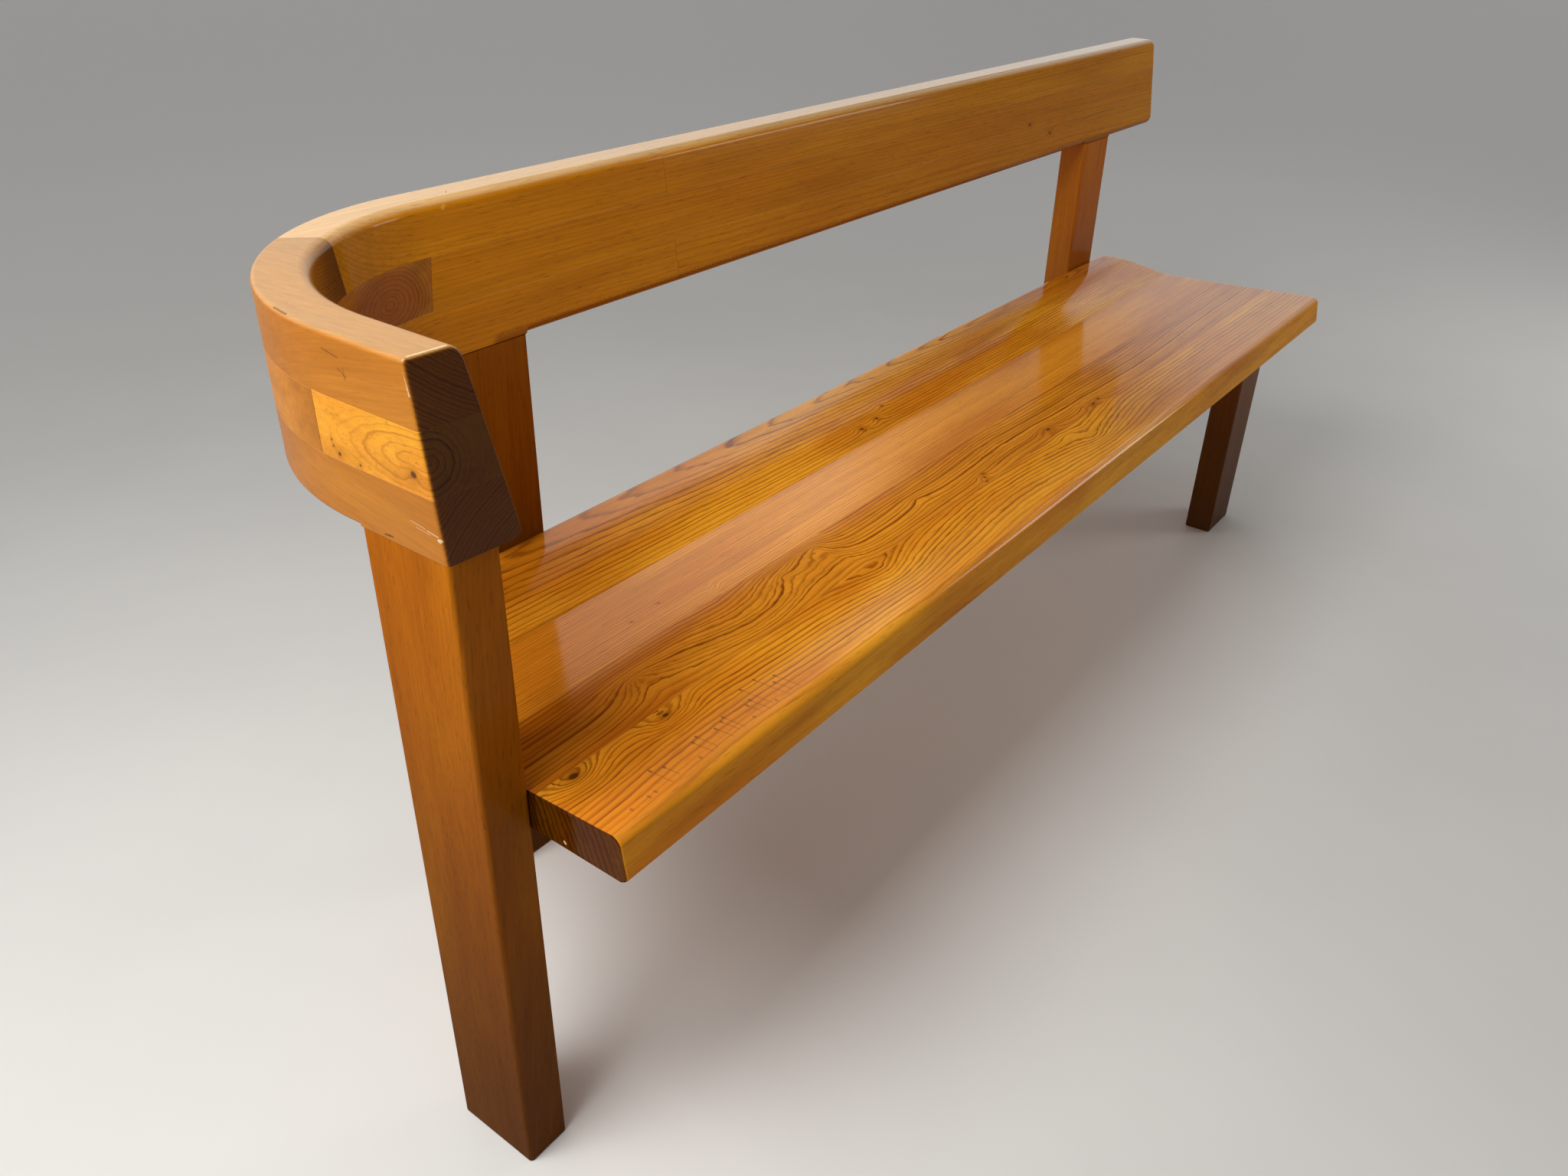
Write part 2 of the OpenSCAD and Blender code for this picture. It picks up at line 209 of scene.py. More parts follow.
class Blank:
    """Piece of timber on the bench: a closed mesh and the cuts made in it."""

    def __init__(self) -> None:
        """Starts with no timber."""
        self.mesh = bmesh.new()

    @classmethod
    def swept(cls, rings: list[list[Vector]]) -> "Blank":
        """Makes the solid that runs through a list of rings.

        Args:
            rings: Outlines with the same number of points, in order along the piece.

        Returns:
            The closed blank.
        """
        blank = cls()
        rows = [[blank.mesh.verts.new(point) for point in ring] for ring in rings]
        count = len(rows[0])
        for near, far in zip(rows, rows[1:]):
            for i in range(count):
                j = (i + 1) % count
                blank.mesh.faces.new((near[i], near[j], far[j], far[i]))
        blank.mesh.faces.new(list(reversed(rows[0])))
        blank.mesh.faces.new(rows[-1])
        bmesh.ops.recalc_face_normals(blank.mesh, faces=blank.mesh.faces)
        return blank

    def cut(self, point: Vector, outward: Vector) -> "Blank":
        """Saws off what lies beyond a plane and closes the cut.

        Args:
            point: A point on the plane.
            outward: Direction of the waste side.

        Returns:
            The same blank.
        """
        parts = list(self.mesh.verts) + list(self.mesh.edges) + list(self.mesh.faces)
        result = bmesh.ops.bisect_plane(
            self.mesh, geom=parts, dist=1e-6, plane_co=point, plane_no=outward, clear_outer=True
        )
        rim = [part for part in result["geom_cut"] if isinstance(part, bmesh.types.BMEdge)]
        if rim:
            bmesh.ops.edgeloop_fill(self.mesh, edges=rim)
        return self

    def soften(self, width: float, where: Callable[[Vector], bool]) -> "Blank":
        """Bevels the sharp edges that lie in one region.

        Args:
            width: Width of the bevel.
            where: Tells for an edge's middle whether it is bevelled.

        Returns:
            The same blank.
        """
        self.mesh.normal_update()
        sharp = [
            edge
            for edge in self.mesh.edges
            if edge.is_manifold
            and edge.calc_face_angle(0.0) > JOINT_ANGLE
            and where((edge.verts[0].co + edge.verts[1].co) / 2)
        ]
        bmesh.ops.bevel(
            self.mesh, geom=sharp, offset=width, offset_type="OFFSET",
            segments=1, profile=0.5, affect="EDGES", clamp_overlap=True,
        )
        return self

    def shape(self, name: str) -> bpy.types.Object:
        """Makes an object of the blank as it is now.

        Args:
            name: Name of the object and its mesh.

        Returns:
            The new object.
        """
        mesh = bpy.data.meshes.new(name)
        self.mesh.to_mesh(mesh)
        return placed(name, mesh)

    def combine(self, others: list["Blank"], operation: str) -> "Blank":
        """Joins tenons on, or cuts sockets out.

        Args:
            others: Blanks of the tenons or sockets.
            operation: UNION or DIFFERENCE.

        Returns:
            The same blank.
        """
        if not others:
            return self
        work = self.shape("work")
        tools = [other.shape("tool") for other in others]
        for tool in tools:
            step = work.modifiers.new("step", "BOOLEAN")
            step.operation, step.solver, step.object = operation, "EXACT", tool
        seen = work.evaluated_get(bpy.context.evaluated_depsgraph_get())
        result = bpy.data.meshes.new_from_object(seen)
        self.mesh.clear()
        self.mesh.from_mesh(result)
        for mesh in [result, *(spare.data for spare in [work, *tools])]:
            bpy.data.meshes.remove(mesh)
        return self

    def piece(self, node: str, finish: "WoodFinish") -> bpy.types.Object:
        """Turns the blank into the piece that stands for a node.

        Args:
            node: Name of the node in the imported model.
            finish: Timber and varnish of the piece.

        Returns:
            The new object.
        """
        bmesh.ops.remove_doubles(self.mesh, verts=self.mesh.verts, dist=1e-7)
        bmesh.ops.recalc_face_normals(self.mesh, faces=self.mesh.faces)
        self.mesh.normal_update()
        for face in self.mesh.faces:
            face.smooth = True
            face.material_index = 0
        for edge in self.mesh.edges:
            edge.smooth = edge.is_manifold and edge.calc_face_angle(0.0) < SHARP_ANGLE
        shaped = self.shape(f"{node}_shaped")
        self.mesh.free()
        shaped.data.materials.clear()
        shaped.data.materials.append(finish.material(node))
        even = shaped.modifiers.new("even_shading", "WEIGHTED_NORMAL")
        even.keep_sharp = True
        even.weight = EVEN_SHADING
        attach(shaped, BODY)
        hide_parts(node)
        return shaped


# Shader building


def _operator(operation: str, reflected: bool = False) -> Callable[["Wire", "Wire | float"], "Wire"]:
    """Makes an operator of Wire that adds one Math node.

    Args:
        operation: Name of the Math operation.
        reflected: Whether the other value stands on the left.

    Returns:
        The method.
    """

    def combine(wire: "Wire", other: "Wire | float") -> "Wire":
        """Combines the wire with another value."""
        return wire.math(operation, *((other, wire) if reflected else (wire, other)))

    return combine


class Wire:
    """Output socket that takes part in sums like a number."""

    __add__ = __radd__ = _operator("ADD")
    __mul__ = __rmul__ = _operator("MULTIPLY")
    __sub__ = _operator("SUBTRACT")
    __rsub__ = _operator("SUBTRACT", reflected=True)
    __truediv__ = _operator("DIVIDE")
    __pow__ = _operator("POWER")
    smaller = _operator("MINIMUM")
    larger = _operator("MAXIMUM")

    def __init__(self, tree: "Tree", socket: bpy.types.NodeSocket) -> None:
        """Keeps the socket and the tree that it belongs to."""
        self.tree = tree
        self.socket = socket

    def math(self, operation: str, *values: "Wire | float") -> "Wire":
        """Adds one Math node."""
        return self.tree.node("ShaderNodeMath", {"operation": operation}, dict(enumerate(values)))

    def __abs__(self) -> "Wire":
        """Absolute value."""
        return self.math("ABSOLUTE", self)

    def fraction(self) -> "Wire":
        """Part after the decimal point."""
        return self.math("FRACT", self)

    def floor(self) -> "Wire":
        """Next whole number below."""
        return self.math("FLOOR", self)

    def exp(self) -> "Wire":
        """Exponential."""
        return self.math("EXPONENT", self)

    def step(self, start: float, end: float) -> "Wire":
        """Smooth step from 0 at start to 1 at end."""
        return self.tree.node(
            "ShaderNodeMapRange",
            {"interpolation_type": "SMOOTHSTEP"},
            {"Value": self, "From Min": start, "From Max": end, "To Min": 0.0, "To Max": 1.0},
        )


class Tree:
    """Node tree of one material."""

    def __init__(self, owner: bpy.types.Material | bpy.types.World) -> None:
        """Empties the tree.

        Args:
            owner: Material or world that the tree belongs to.
        """
        owner.use_nodes = True
        self.tree = owner.node_tree
        self.tree.nodes.clear()

    def node(
        self,
        kind: str,
        settings: dict[str, object] | None = None,
        inputs: dict[str | int, object] | None = None,
        output: str | int = 0,
    ) -> Wire:
        """Adds a node.

        Args:
            kind: Blender's name for the type of node.
            settings: Properties, set first; "stops" fills a colour ramp.
            inputs: Value or wire for each input socket.
            output: Output socket that is handed back.

        Returns:
            The wire from that output.
        """
        made = self.tree.nodes.new(kind)
        for name, value in (settings or {}).items():
            if name == "stops":
                self._fill_ramp(made.color_ramp, value)
            else:
                setattr(made, name, value)
        for name, value in (inputs or {}).items():
            if isinstance(value, Wire):
                self.tree.links.new(value.socket, made.inputs[name])
            else:
                made.inputs[name].default_value = value
        return Wire(self, made.outputs[output])

    @staticmethod
    def _fill_ramp(ramp: bpy.types.ColorRamp, stops: list[tuple[float, float]]) -> None:
        """Gives a ramp its grey stops.

        Args:
            ramp: The ramp to fill.
            stops: Place and brightness of each stop.
        """
        ramp.interpolation = "EASE"
        while len(ramp.elements) > 1:
            ramp.elements.remove(ramp.elements[-1])
        for i, (place, value) in enumerate(stops):
            stop = ramp.elements[0] if i == 0 else ramp.elements.new(place)
            stop.position = place
            stop.color = (value, value, value, 1.0)

    def end(self, kind: str, shader: Wire) -> None:
        """Joins the finished shader to the output node."""
        out = self.tree.nodes.new(kind)
        self.tree.links.new(shader.socket, out.inputs["Surface"])

    def place(self, output: str) -> Wire:
        """Adds texture coordinates and hands back one of them."""
        return self.node("ShaderNodeTexCoord", output=output)

    def vector(self, operation: str, *values: object, output: str | int = 0) -> Wire:
        """Adds one Vector Math node."""
        return self.node(
            "ShaderNodeVectorMath", {"operation": operation}, dict(enumerate(values)), output
        )

    def dot(self, place: Wire, direction: Point) -> Wire:
        """How far a vector reaches along a direction."""
        return self.vector("DOT_PRODUCT", place, direction, output="Value")

    def length(self, place: Wire) -> Wire:
        """Length of a vector."""
        return self.vector("LENGTH", place, output="Value")

    def blend(self, share: Wire | float, first: object, second: object, how: str = "MIX") -> Wire:
        """Mixes two colours.

        Args:
            share: How much of the second colour.
            first: Colour or wire.
            second: Colour or wire.
            how: Blend type of the Mix node.

        Returns:
            The mixed colour.
        """
        return self.node(
            "ShaderNodeMix",
            {"data_type": "RGBA", "blend_type": how, "clamp_factor": True},
            {
                0: share,
                6: first if isinstance(first, Wire) else (*first, 1.0),
                7: second if isinstance(second, Wire) else (*second, 1.0),
            },
            2,
        )

    def tint(self, colour: Wire, filter_colour: Wire) -> Wire:
        """Multiplies a colour by another one."""
        return self.blend(1.0, colour, filter_colour, "MULTIPLY")

    def noise(
        self, place: Wire, scale: float, detail: float = 2.0, stretch: Point | None = None
    ) -> Wire:
        """Adds soft noise.

        Args:
            place: Where the noise is read.
            scale: Its fineness.
            detail: Number of finer layers in it.
            stretch: How many times finer it is along each axis.

        Returns:
            The noise, from 0 to 1.
        """
        if stretch:
            place = self.vector("MULTIPLY", place, stretch)
        return self.node(
            "ShaderNodeTexNoise",
            {"noise_dimensions": "3D"},
            {"Vector": place, "Scale": scale, "Detail": detail, "Roughness": 0.55},
            "Fac",
        )


# Timber and varnish


class Grain(Enum):
    """Direction of a board's grain, as the turn that lays the X axis along it."""

    ALONG = (0.0, 0.0, 0.0)
    ACROSS = (0.0, 0.0, math.pi / 2)
    UPRIGHT = (0.0, -math.pi / 2, 0.0)
    SLANTING = (0.0, 0.0, math.pi / 4)


@dataclass(frozen=True)
class Knot:
    """Knot or bulge that pushes the growth rings aside, placed in the bench's frame."""

    at: Point
    reach: float
    lift: float
    core: float
    long: float


@dataclass(frozen=True)
class Burl:
    """Peak or dip in the rings of a seat board, with its own reach on each side."""

    at: Point
    lift: float
    left: float
    right: float
    front: float
    back: float
    sharp: float = 1.0


@dataclass(frozen=True)
class Scar:
    """Place where the varnish is chipped off and pale wood shows."""

    at: Point
    size: Point


@dataclass(frozen=True)
class Mark:
    """Straight scratch, crack or worn line from one point to another, or a painted highlight or painted
    shade along an edge.
    """

    start: Point
    end: Point
    width: float
    shade: Colour
    strength: float


@dataclass(frozen=True)
class Timber:
    """Colours of one sort of wood, as light reflected, and the name of its slot."""

    slot: str
    early: Colour
    late: Colour
    flush: Colour
    end: float = 0.25
    # Paler colour painted on the faces that look up, as their sheen
    top_sheen: Colour | None = None

    def toned(self, share: float) -> "Timber":
        """Makes the same timber lighter or darker."""
        parts = ("early", "late", "flush")
        return replace(self, **{part: tuple(share * c for c in getattr(self, part)) for part in parts})


@dataclass(frozen=True)
class Varnish:
    """Clear coat, thick on the faces that look up and worn thin on the upright ones."""

    weight: float = 0.9
    upright_weight: float = 0.20
    roughness: float = 0.11
    base_roughness: float = 0.5


@dataclass(frozen=True)
class Cut:
    """How a board was sawn: where the heart of the tree lay and how wide its rings are."""

    grain: Grain
    heart: Point
    ring: float
    wander: float
    contrast: float
    seed: float = 0.0
    tilt: tuple[float, float] = (0.0, 0.0)
    late: float = 0.32
    heartwood: float = 0.0
    fading: tuple[float, float] | None = None


@dataclass(frozen=True)
class WoodFinish:
    """Varnished timber: its cut, its coat and what marks it."""

    timber: Timber
    cut: Cut
    varnish: Varnish = Varnish()
    knots: tuple[Knot, ...] = ()
    burls: tuple[Burl, ...] = ()
    scar: Scar | None = None
    marks: tuple[Mark, ...] = ()
    # Painted shade: how much darker the colour turns towards the foot
    foot_shade: float = 0.0
    calm_front: float = 0.0
    pores: float = 0.26

    def material(self, name: str) -> bpy.types.Material:
        """Builds the material of one piece."""
        return WoodShader(self, name).build()


# Noises in a board: fineness, layers of detail and how much finer they are along each axis
FIBRE = (9.0, 3.0, (1.0, 28.0, 28.0))
STREAK = (2.6, 3.0, (1.0, 22.0, 22.0))
PORE = (50.0, 1.0, (1.0, 16.0, 16.0))
BLOTCH = (2.2, 3.0, (1.0, 4.0, 4.0))
SLOW_WANDER = (5.0, 2.0, (0.22, 1.0, 1.0))
QUICK_WANDER = (34.0, 2.0, (0.20, 1.0, 1.0))
ROUGH_WANDER = (210.0, 1.0, (0.08, 1.0, 1.0))
RIPPLE = (75.0, 2.0, (0.6, 1.0, 1.0))
SMUDGE = (14.0, 3.0)

# Noises in the bench's frame: fineness and layers of detail
RAGGED_EDGE = (420.0, 3.0)
UNEVEN_LINE = (380.0, 2.0)

# Where a noise begins to show and where it shows fully
STREAKED, PORED, BLOTCHED = (0.46, 0.72), (0.58, 0.74), (0.34, 0.62)

# The same for how far a face turns to a side or across the grain, and for the chip's edge
TURNED, ACROSS_GRAIN, CHIPPED = (0.35, 0.85), (0.45, 0.95), (1.25, 1.45)

SEED_SHARES = (1.0, 1.7, 2.3)
QUICK_BEND, ROUGH_BEND = 0.9, 0.45
STREAK_STRENGTH = 0.28
END_CONTRAST = 0.65
KNOT_CURL, BURL_CURL = 0.012, 0.3
# Height up to which the painted shade at the foot reaches
FOOT_SHADE_HEIGHT = 0.70
WHITE, NOWHERE = (1.0, 1.0, 1.0), (0.0, 0.0, 0.0)


class WoodShader:
    """Shader of one piece of varnished wood, with rings that run through the whole board."""

    def __init__(self, finish: WoodFinish, name: str) -> None:
        """Starts the tree with each point's place in the board.

        Args:
            finish: The look of the wood.
            name: Name of the piece.
        """
        self.finish, self.cut = finish, finish.cut
        self.made = bpy.data.materials.new(f"{name}_elm")
        self.tree = Tree(self.made)
        self.coords, self.facing = self.tree.place("Object"), self.tree.place("Normal")
        self.turn = Euler(self.cut.grain.value).to_matrix()
        tilted = self.turn @ Euler((0.0, *self.cut.tilt)).to_matrix()
        angles = tuple(tilted.to_euler())
        place = {"Vector": self.coords, "Location": self.cut.heart, "Rotation": angles}
        self.board = self.tree.node("ShaderNodeMapping", {"vector_type": "TEXTURE"}, place)
        seed = tuple(self.cut.seed * share for share in SEED_SHARES)
        self.shifted = self.tree.vector("ADD", self.board, seed)

    def noise(self, *kind: float | Point) -> Wire:
        """Noise that runs through the board."""
        return self.tree.noise(self.shifted, *kind)

    def turned(self, direction: Vector) -> Wire:
        """How far a face is turned to one side, from 0 to 1."""
        return self.tree.dot(self.facing, tuple(direction)).step(*TURNED)

    def near(self, knot: Knot, reach: float) -> Wire:
        """How near a point is to a knot, which is drawn out along the grain.

        Args:
            knot: The knot.
            reach: How far it reaches across the grain.

        Returns:
            The nearness, 1 at the knot's middle.
        """
        axis = list(Grain).index(self.cut.grain)
        squeeze = tuple(1 / knot.long if k == axis else 1.0 for k in range(3))
        away = self.tree.vector("MULTIPLY", self.tree.vector("SUBTRACT", self.coords, knot.at), squeeze)
        return ((self.tree.length(away) / reach) ** 2 * -1.0).exp()

    def peak(self, burl: Burl) -> Wire:
        """How near a point is to a burl.

        Args:
            burl: The burl.

        Returns:
            The nearness, 1 at the burl's peak.
        """
        vector = self.tree.vector
        away = vector("SUBTRACT", self.coords, burl.at)
        sides = (("MAXIMUM", burl.right, burl.back), ("MINIMUM", burl.left, burl.front))
        beyond, before = (
            vector("MULTIPLY", vector(half, away, NOWHERE), (1 / along, 1 / across, 0.0))
            for half, along, across in sides
        )
        return (self.tree.length(vector("ADD", beyond, before)) ** burl.sharp * -1.0).exp()

    def radius(self) -> Wire:
        """Distance from the heart, bent by wander, knots and burls.

        Returns:
            The distance in metres.
        """
        radius = self.tree.length(self.tree.vector("MULTIPLY", self.board, (0.0, 1.0, 1.0)))
        slow, quick, rough = (
            self.noise(*kind) - 0.5 for kind in (SLOW_WANDER, QUICK_WANDER, ROUGH_WANDER)
        )
        radius = radius + slow * (2 * self.cut.wander) + quick * (QUICK_BEND * self.cut.ring)
        radius = radius + rough * (ROUGH_BEND * self.cut.ring)
        knots = [knot for knot in self.finish.knots if knot.lift]
        bulges = [(self.near(knot, knot.reach), knot.lift, KNOT_CURL) for knot in knots]
        for burl in self.finish.burls:
            bulges.append((self.peak(burl), burl.lift, BURL_CURL * abs(burl.lift)))
        ripple = self.noise(*RIPPLE) - 0.5 if bulges else 0.0
        for near, lift, curl in bulges:
            radius = radius + near * lift + near * ripple * curl
        return radius

    def rings(self, radius: Wire) -> Wire:
        """Draws the late wood as thin lines of uneven width and strength.

        Args:
            radius: Distance from the heart.

        Returns:
            The darkness of the lines.
        """
        count = radius / self.cut.ring
        flat = {"noise_dimensions": "1D"}
        slow = {"W": count * 0.37 + self.cut.seed, "Scale": 1.0}
        phase = count + self.tree.node("ShaderNodeTexNoise", flat, slow) * 1.2
        strength = self.tree.node("ShaderNodeTexWhiteNoise", flat, {"W": phase.floor() + self.cut.seed})
        late = self.cut.late
        rise = [(1 - 1.7 * late, 0.06), (1 - late, 0.45), (1 - 0.6 * late, 1.0), (1 - 0.2 * late, 1.0)]
        stops = [(0.0, 0.35), (0.08, 0.0), *rise, (1.0, 0.35)]
        profile = self.tree.node("ShaderNodeValToRGB", {"stops": stops}, {"Fac": phase.fraction()})
        line = profile * (0.45 + strength * 0.55)
        if self.cut.fading:
            line = line * (1.0 - radius.step(*self.cut.fading) * 0.85)
        return line

    def spotted(self, colour: Wire) -> Wire:
        """Darkens the middle of each knot and stains the wood round it.

        Args:
            colour: Colour of the wood.

        Returns:
            The colour with the knots.
        """
        late = self.finish.timber.late
        dark = tuple(0.30 * part for part in late)
        for knot in self.finish.knots:
            if knot.core:
                colour = self.tree.blend(self.near(knot, 3.0 * knot.core) * 0.55, colour, late)
                core = self.near(knot, knot.core).step(0.15, 0.70)
                colour = self.tree.blend(core * 0.95, colour, dark)
        return colour

    def marked(self, colour: Wire) -> Wire:
        """Draws scratches, cracks, worn lines, painted highlights and painted shade.

        Args:
            colour: Colour of the wood.

        Returns:
            The colour with the marks.
        """
        tree = self.tree
        uneven = tree.noise(self.coords, *UNEVEN_LINE) if self.finish.marks else 0.0
        for mark in self.finish.marks:
            start, end = Vector(mark.start), Vector(mark.end)
            line = end - start
            away = tree.vector("SUBTRACT", self.coords, tuple(start))
            along = tree.dot(away, tuple(line / line.length_squared))
            reach = {0: tuple(line), "Scale": along.larger(0.0).smaller(1.0)}
            foot = tree.node("ShaderNodeVectorMath", {"operation": "SCALE"}, reach)
            gap = tree.vector("DISTANCE", away, foot, output="Value")
            mask = 1.0 - (gap * (0.6 + uneven * 0.8)).step(0.25 * mark.width, 0.75 * mark.width)
            colour = tree.blend(mask * mark.strength, colour, mark.shade)
        return colour

    def chipped(self, scar: Scar) -> Wire:
        """Finds the place where the varnish is chipped off.

        Args:
            scar: The chip.

        Returns:
            A mask of the bare wood.
        """
        ragged = self.tree.noise(self.coords, *RAGGED_EDGE) * 1.1
        away = self.tree.vector("DIVIDE", self.tree.vector("SUBTRACT", self.coords, scar.at), scar.size)
        return 1.0 - (self.tree.length(away) + ragged).step(*CHIPPED)

    def build(self) -> bpy.types.Material:
        """Joins the wood, its marks and the varnish.

        Returns:
            The finished material.
        """
        finish, timber, tree = self.finish, self.finish.timber, self.tree
        upward = self.turned(UP)
        end = abs(tree.dot(self.facing, tuple(self.turn @ RIGHT))).step(*ACROSS_GRAIN)
        fibre, streak, pore, blotch = (self.noise(*kind) for kind in (FIBRE, STREAK, PORE, BLOTCH))
        dashes = pore.step(*PORED)

        # Growth rings, broken up by the fibre
        radius = self.radius()
        line = self.rings(radius) * (0.4 + fibre * 1.2)
        if finish.calm_front:
            line = line * (1.0 - self.turned(-BACK) * finish.calm_front)
        contrast = self.cut.contrast + end * (END_CONTRAST - self.cut.contrast)
        colour = tree.blend(blotch.step(*BLOTCHED), timber.early, timber.flush)
        colour = tree.blend(streak.step(*STREAKED) * STREAK_STRENGTH, colour, timber.late)
        colour = tree.blend(line * contrast, colour, timber.late)

        # Heartwood, painted sheen on the tops, fine fibres and painted shade towards the feet
        if self.cut.heartwood:
            sapwood = radius.step(0.75 * self.cut.heartwood, 1.25 * self.cut.heartwood)
            colour = tree.tint(colour, tree.blend(sapwood, HEART_STAIN, WHITE))
        # Painted sheen: faces that look up are mixed towards a paler tan, standing in for the glare of
        # the light above
        if timber.top_sheen:
            sheen_share = upward * (0.80 + (blotch - 0.5) * 0.5 - line * 0.15)
            colour = tree.blend(sheen_share, colour, timber.top_sheen)
        grain = (0.78 + fibre * 0.44) * (1.0 - dashes * finish.pores) * (1.0 - end * line * 0.42)
        # Painted shade: the colour turns darker towards the foot, where less light falls
        if finish.foot_shade:
            height = tree.dot(self.coords, tuple(UP)).step(0.0, FOOT_SHADE_HEIGHT)
            grain = grain * (1.0 - finish.foot_shade * (1.0 - height))
        grey = tree.node("ShaderNodeCombineColor", None, dict.fromkeys(range(3), grain))
        colour = tree.tint(colour, grey)

        # End grain, which soaks up varnish and turns dark, then knots and marks
        soaked = (timber.end, 0.78 * timber.end, 0.45 * timber.end)
        colour = tree.tint(colour, tree.blend(end, WHITE, soaked))
        colour = self.marked(self.spotted(colour))

        # Varnish, thinner on upright faces and gone where it is chipped
        thin = finish.varnish.upright_weight
        coat = thin + upward * (finish.varnish.weight - thin)
        if finish.scar:
            bare = self.chipped(finish.scar)
            colour = tree.blend(bare, colour, BARE_WOOD)
            coat = (1.0 - bare) * coat
        relief = fibre * 0.6 - dashes * 0.5 - line * 0.25
        bump = {"Strength": 0.25, "Distance": 0.0004, "Height": relief}
        smudge = self.noise(*SMUDGE)
        surface = {
            "Base Color": colour,
            "Roughness": finish.varnish.base_roughness - 0.05 + smudge * 0.12 + dashes * 0.1,
            "Normal": tree.node("ShaderNodeBump", None, bump),
            "Coat Weight": coat,
            "Coat Roughness": finish.varnish.roughness,
            "Coat IOR": 1.5,
            "IOR": 1.45,
            "Specular IOR Level": 0.0,
        }
        tree.end("ShaderNodeOutputMaterial", tree.node("ShaderNodeBsdfPrincipled", None, surface))
        return self.made


# Colours, as light reflected

SEAT_ELM = Timber(
    "seat_elm", end=0.15,
    early=(0.90, 0.375, 0.020), late=(0.22, 0.048, 0.002), flush=(0.68, 0.210, 0.008),
)
BURR_ELM = Timber(
    "seat_elm", end=0.15,
    early=(0.77, 0.288, 0.016), late=(0.22, 0.044, 0.002), flush=(0.54, 0.142, 0.006),
)
HOLLOW_ELM = Timber(
    "seat_elm", end=0.15,
    early=(0.90, 0.350, 0.026), late=(0.33, 0.082, 0.004), flush=(0.70, 0.222, 0.011),
)
RAIL_ELM = Timber(
    "rail_elm",
    early=(0.66, 0.256, 0.004), late=(0.36, 0.106, 0.002), flush=(0.60, 0.212, 0.003),
    top_sheen=(0.63, 0.405, 0.175),
)
ARM_ELM = Timber(
    "arm_elm",
    early=(0.49, 0.184, 0.018), late=(0.33, 0.101, 0.008), flush=(0.42, 0.142, 0.012),
    top_sheen=(0.41, 0.240, 0.095),
)
BLOCK_ELM = Timber(
    "dark_elm",
    early=(0.56, 0.205, 0.016), late=(0.22, 0.062, 0.004), flush=(0.48, 0.162, 0.012),
)
PALE_ELM = Timber(
    "pale_elm", end=0.14,
    early=(0.79, 0.350, 0.022), late=(0.36, 0.108, 0.005), flush=(0.71, 0.265, 0.020),
)
POST_ELM = Timber(
    "post_elm",
    early=(0.48, 0.148, 0.004), late=(0.26, 0.066, 0.002), flush=(0.38, 0.104, 0.003),
)
BEECH = Timber(
    "beech_dowel", end=0.8,
    early=(0.70, 0.48, 0.28), late=(0.52, 0.32, 0.16), flush=(0.62, 0.42, 0.24),
)
CREAM = (0.82, 0.64, 0.42)
UMBER = (0.10, 0.030, 0.008)
HONEY = (0.78, 0.47, 0.10)
BARE_WOOD = (0.70, 0.50, 0.30)
HEART_STAIN = (0.80, 0.66, 0.42)

RAIL_COAT = Varnish(upright_weight=0.40)
ARM_COAT = Varnish(weight=0.60, upright_weight=0.50, roughness=0.20)
POST_COAT = Varnish(upright_weight=0.12, roughness=0.22)
SHINY_POST_COAT = Varnish(upright_weight=0.30, roughness=0.20)


def on_seat(x: float, y: float) -> Point:
    """Point on the hollowed top of the seat."""
    return (x, y, BenchSizes().seat_top(y))


def scratches() -> tuple[Mark, ...]:
    """Dents near the seat's front edge, most with a short stroke, and a pale speck on its left end.

    Returns:
        The marks, from left to right.
    """
    strokes = (
        -0.865, -0.854, -0.814, -0.806, -0.787, -0.776, -0.770,
        -0.743, -0.735, -0.727, -0.707, -0.699, -0.690,
    )
    dots = (-0.910, -0.890, -0.882, -0.826, -0.753, -0.721)
    usual_head, usual_tail = -0.200, -0.223
    heads = {-0.727: -0.182, -0.707: -0.182, -0.690: -0.193}
    brown = (0.20, 0.065, 0.014)
    marks = []
    for k, x in enumerate(strokes):
        head = heads.get(x, usual_head - 0.003 * (k * 2 % 3 - 1))
        tail = usual_tail + 0.003 * (k % 2)
        marks.append(Mark(on_seat(x, head), on_seat(x + 0.001, tail), 0.0012, brown, 0.45))
        marks.append(Mark(on_seat(x, head), on_seat(x, head - 0.002), 0.0026, brown, 0.75))
    for x in dots:
        marks.append(Mark(on_seat(x, -0.219), on_seat(x, -0.221), 0.0026, brown, 0.6))
    left_end = BenchSizes().seat_left_x
    marks.append(Mark((left_end, -0.1742, 0.4040), (left_end, -0.1752, 0.4028), 0.0022, CREAM, 0.9))
    return tuple(marks)


def seat_lines() -> tuple[Mark, ...]:
    """Fine dark lines and dashes in the seat's middle board, to the right of its burls.

    Returns:
        The marks.
    """
    path = ((0.16, -0.057), (0.28, -0.057), (0.46, -0.076), (0.56, -0.091))
    zigzag = (
        (0.470, -0.128), (0.482, -0.118), (0.488, -0.126), (0.500, -0.113),
        (0.506, -0.122), (0.520, -0.112), (0.530, -0.119),
    )
    marks = []
    for run, width in ((path, 0.0014), (zigzag, 0.0016)):
        for start, end in zip(run, run[1:]):
            marks.append(Mark(on_seat(*start), on_seat(*end), width, UMBER, 0.45))
    for x, y in ((-0.090, -0.081), (-0.070, -0.093)):
        marks.append(Mark(on_seat(x - 0.007, y), on_seat(x + 0.007, y - 0.001), 0.0018, UMBER, 0.7))
    return tuple(marks)


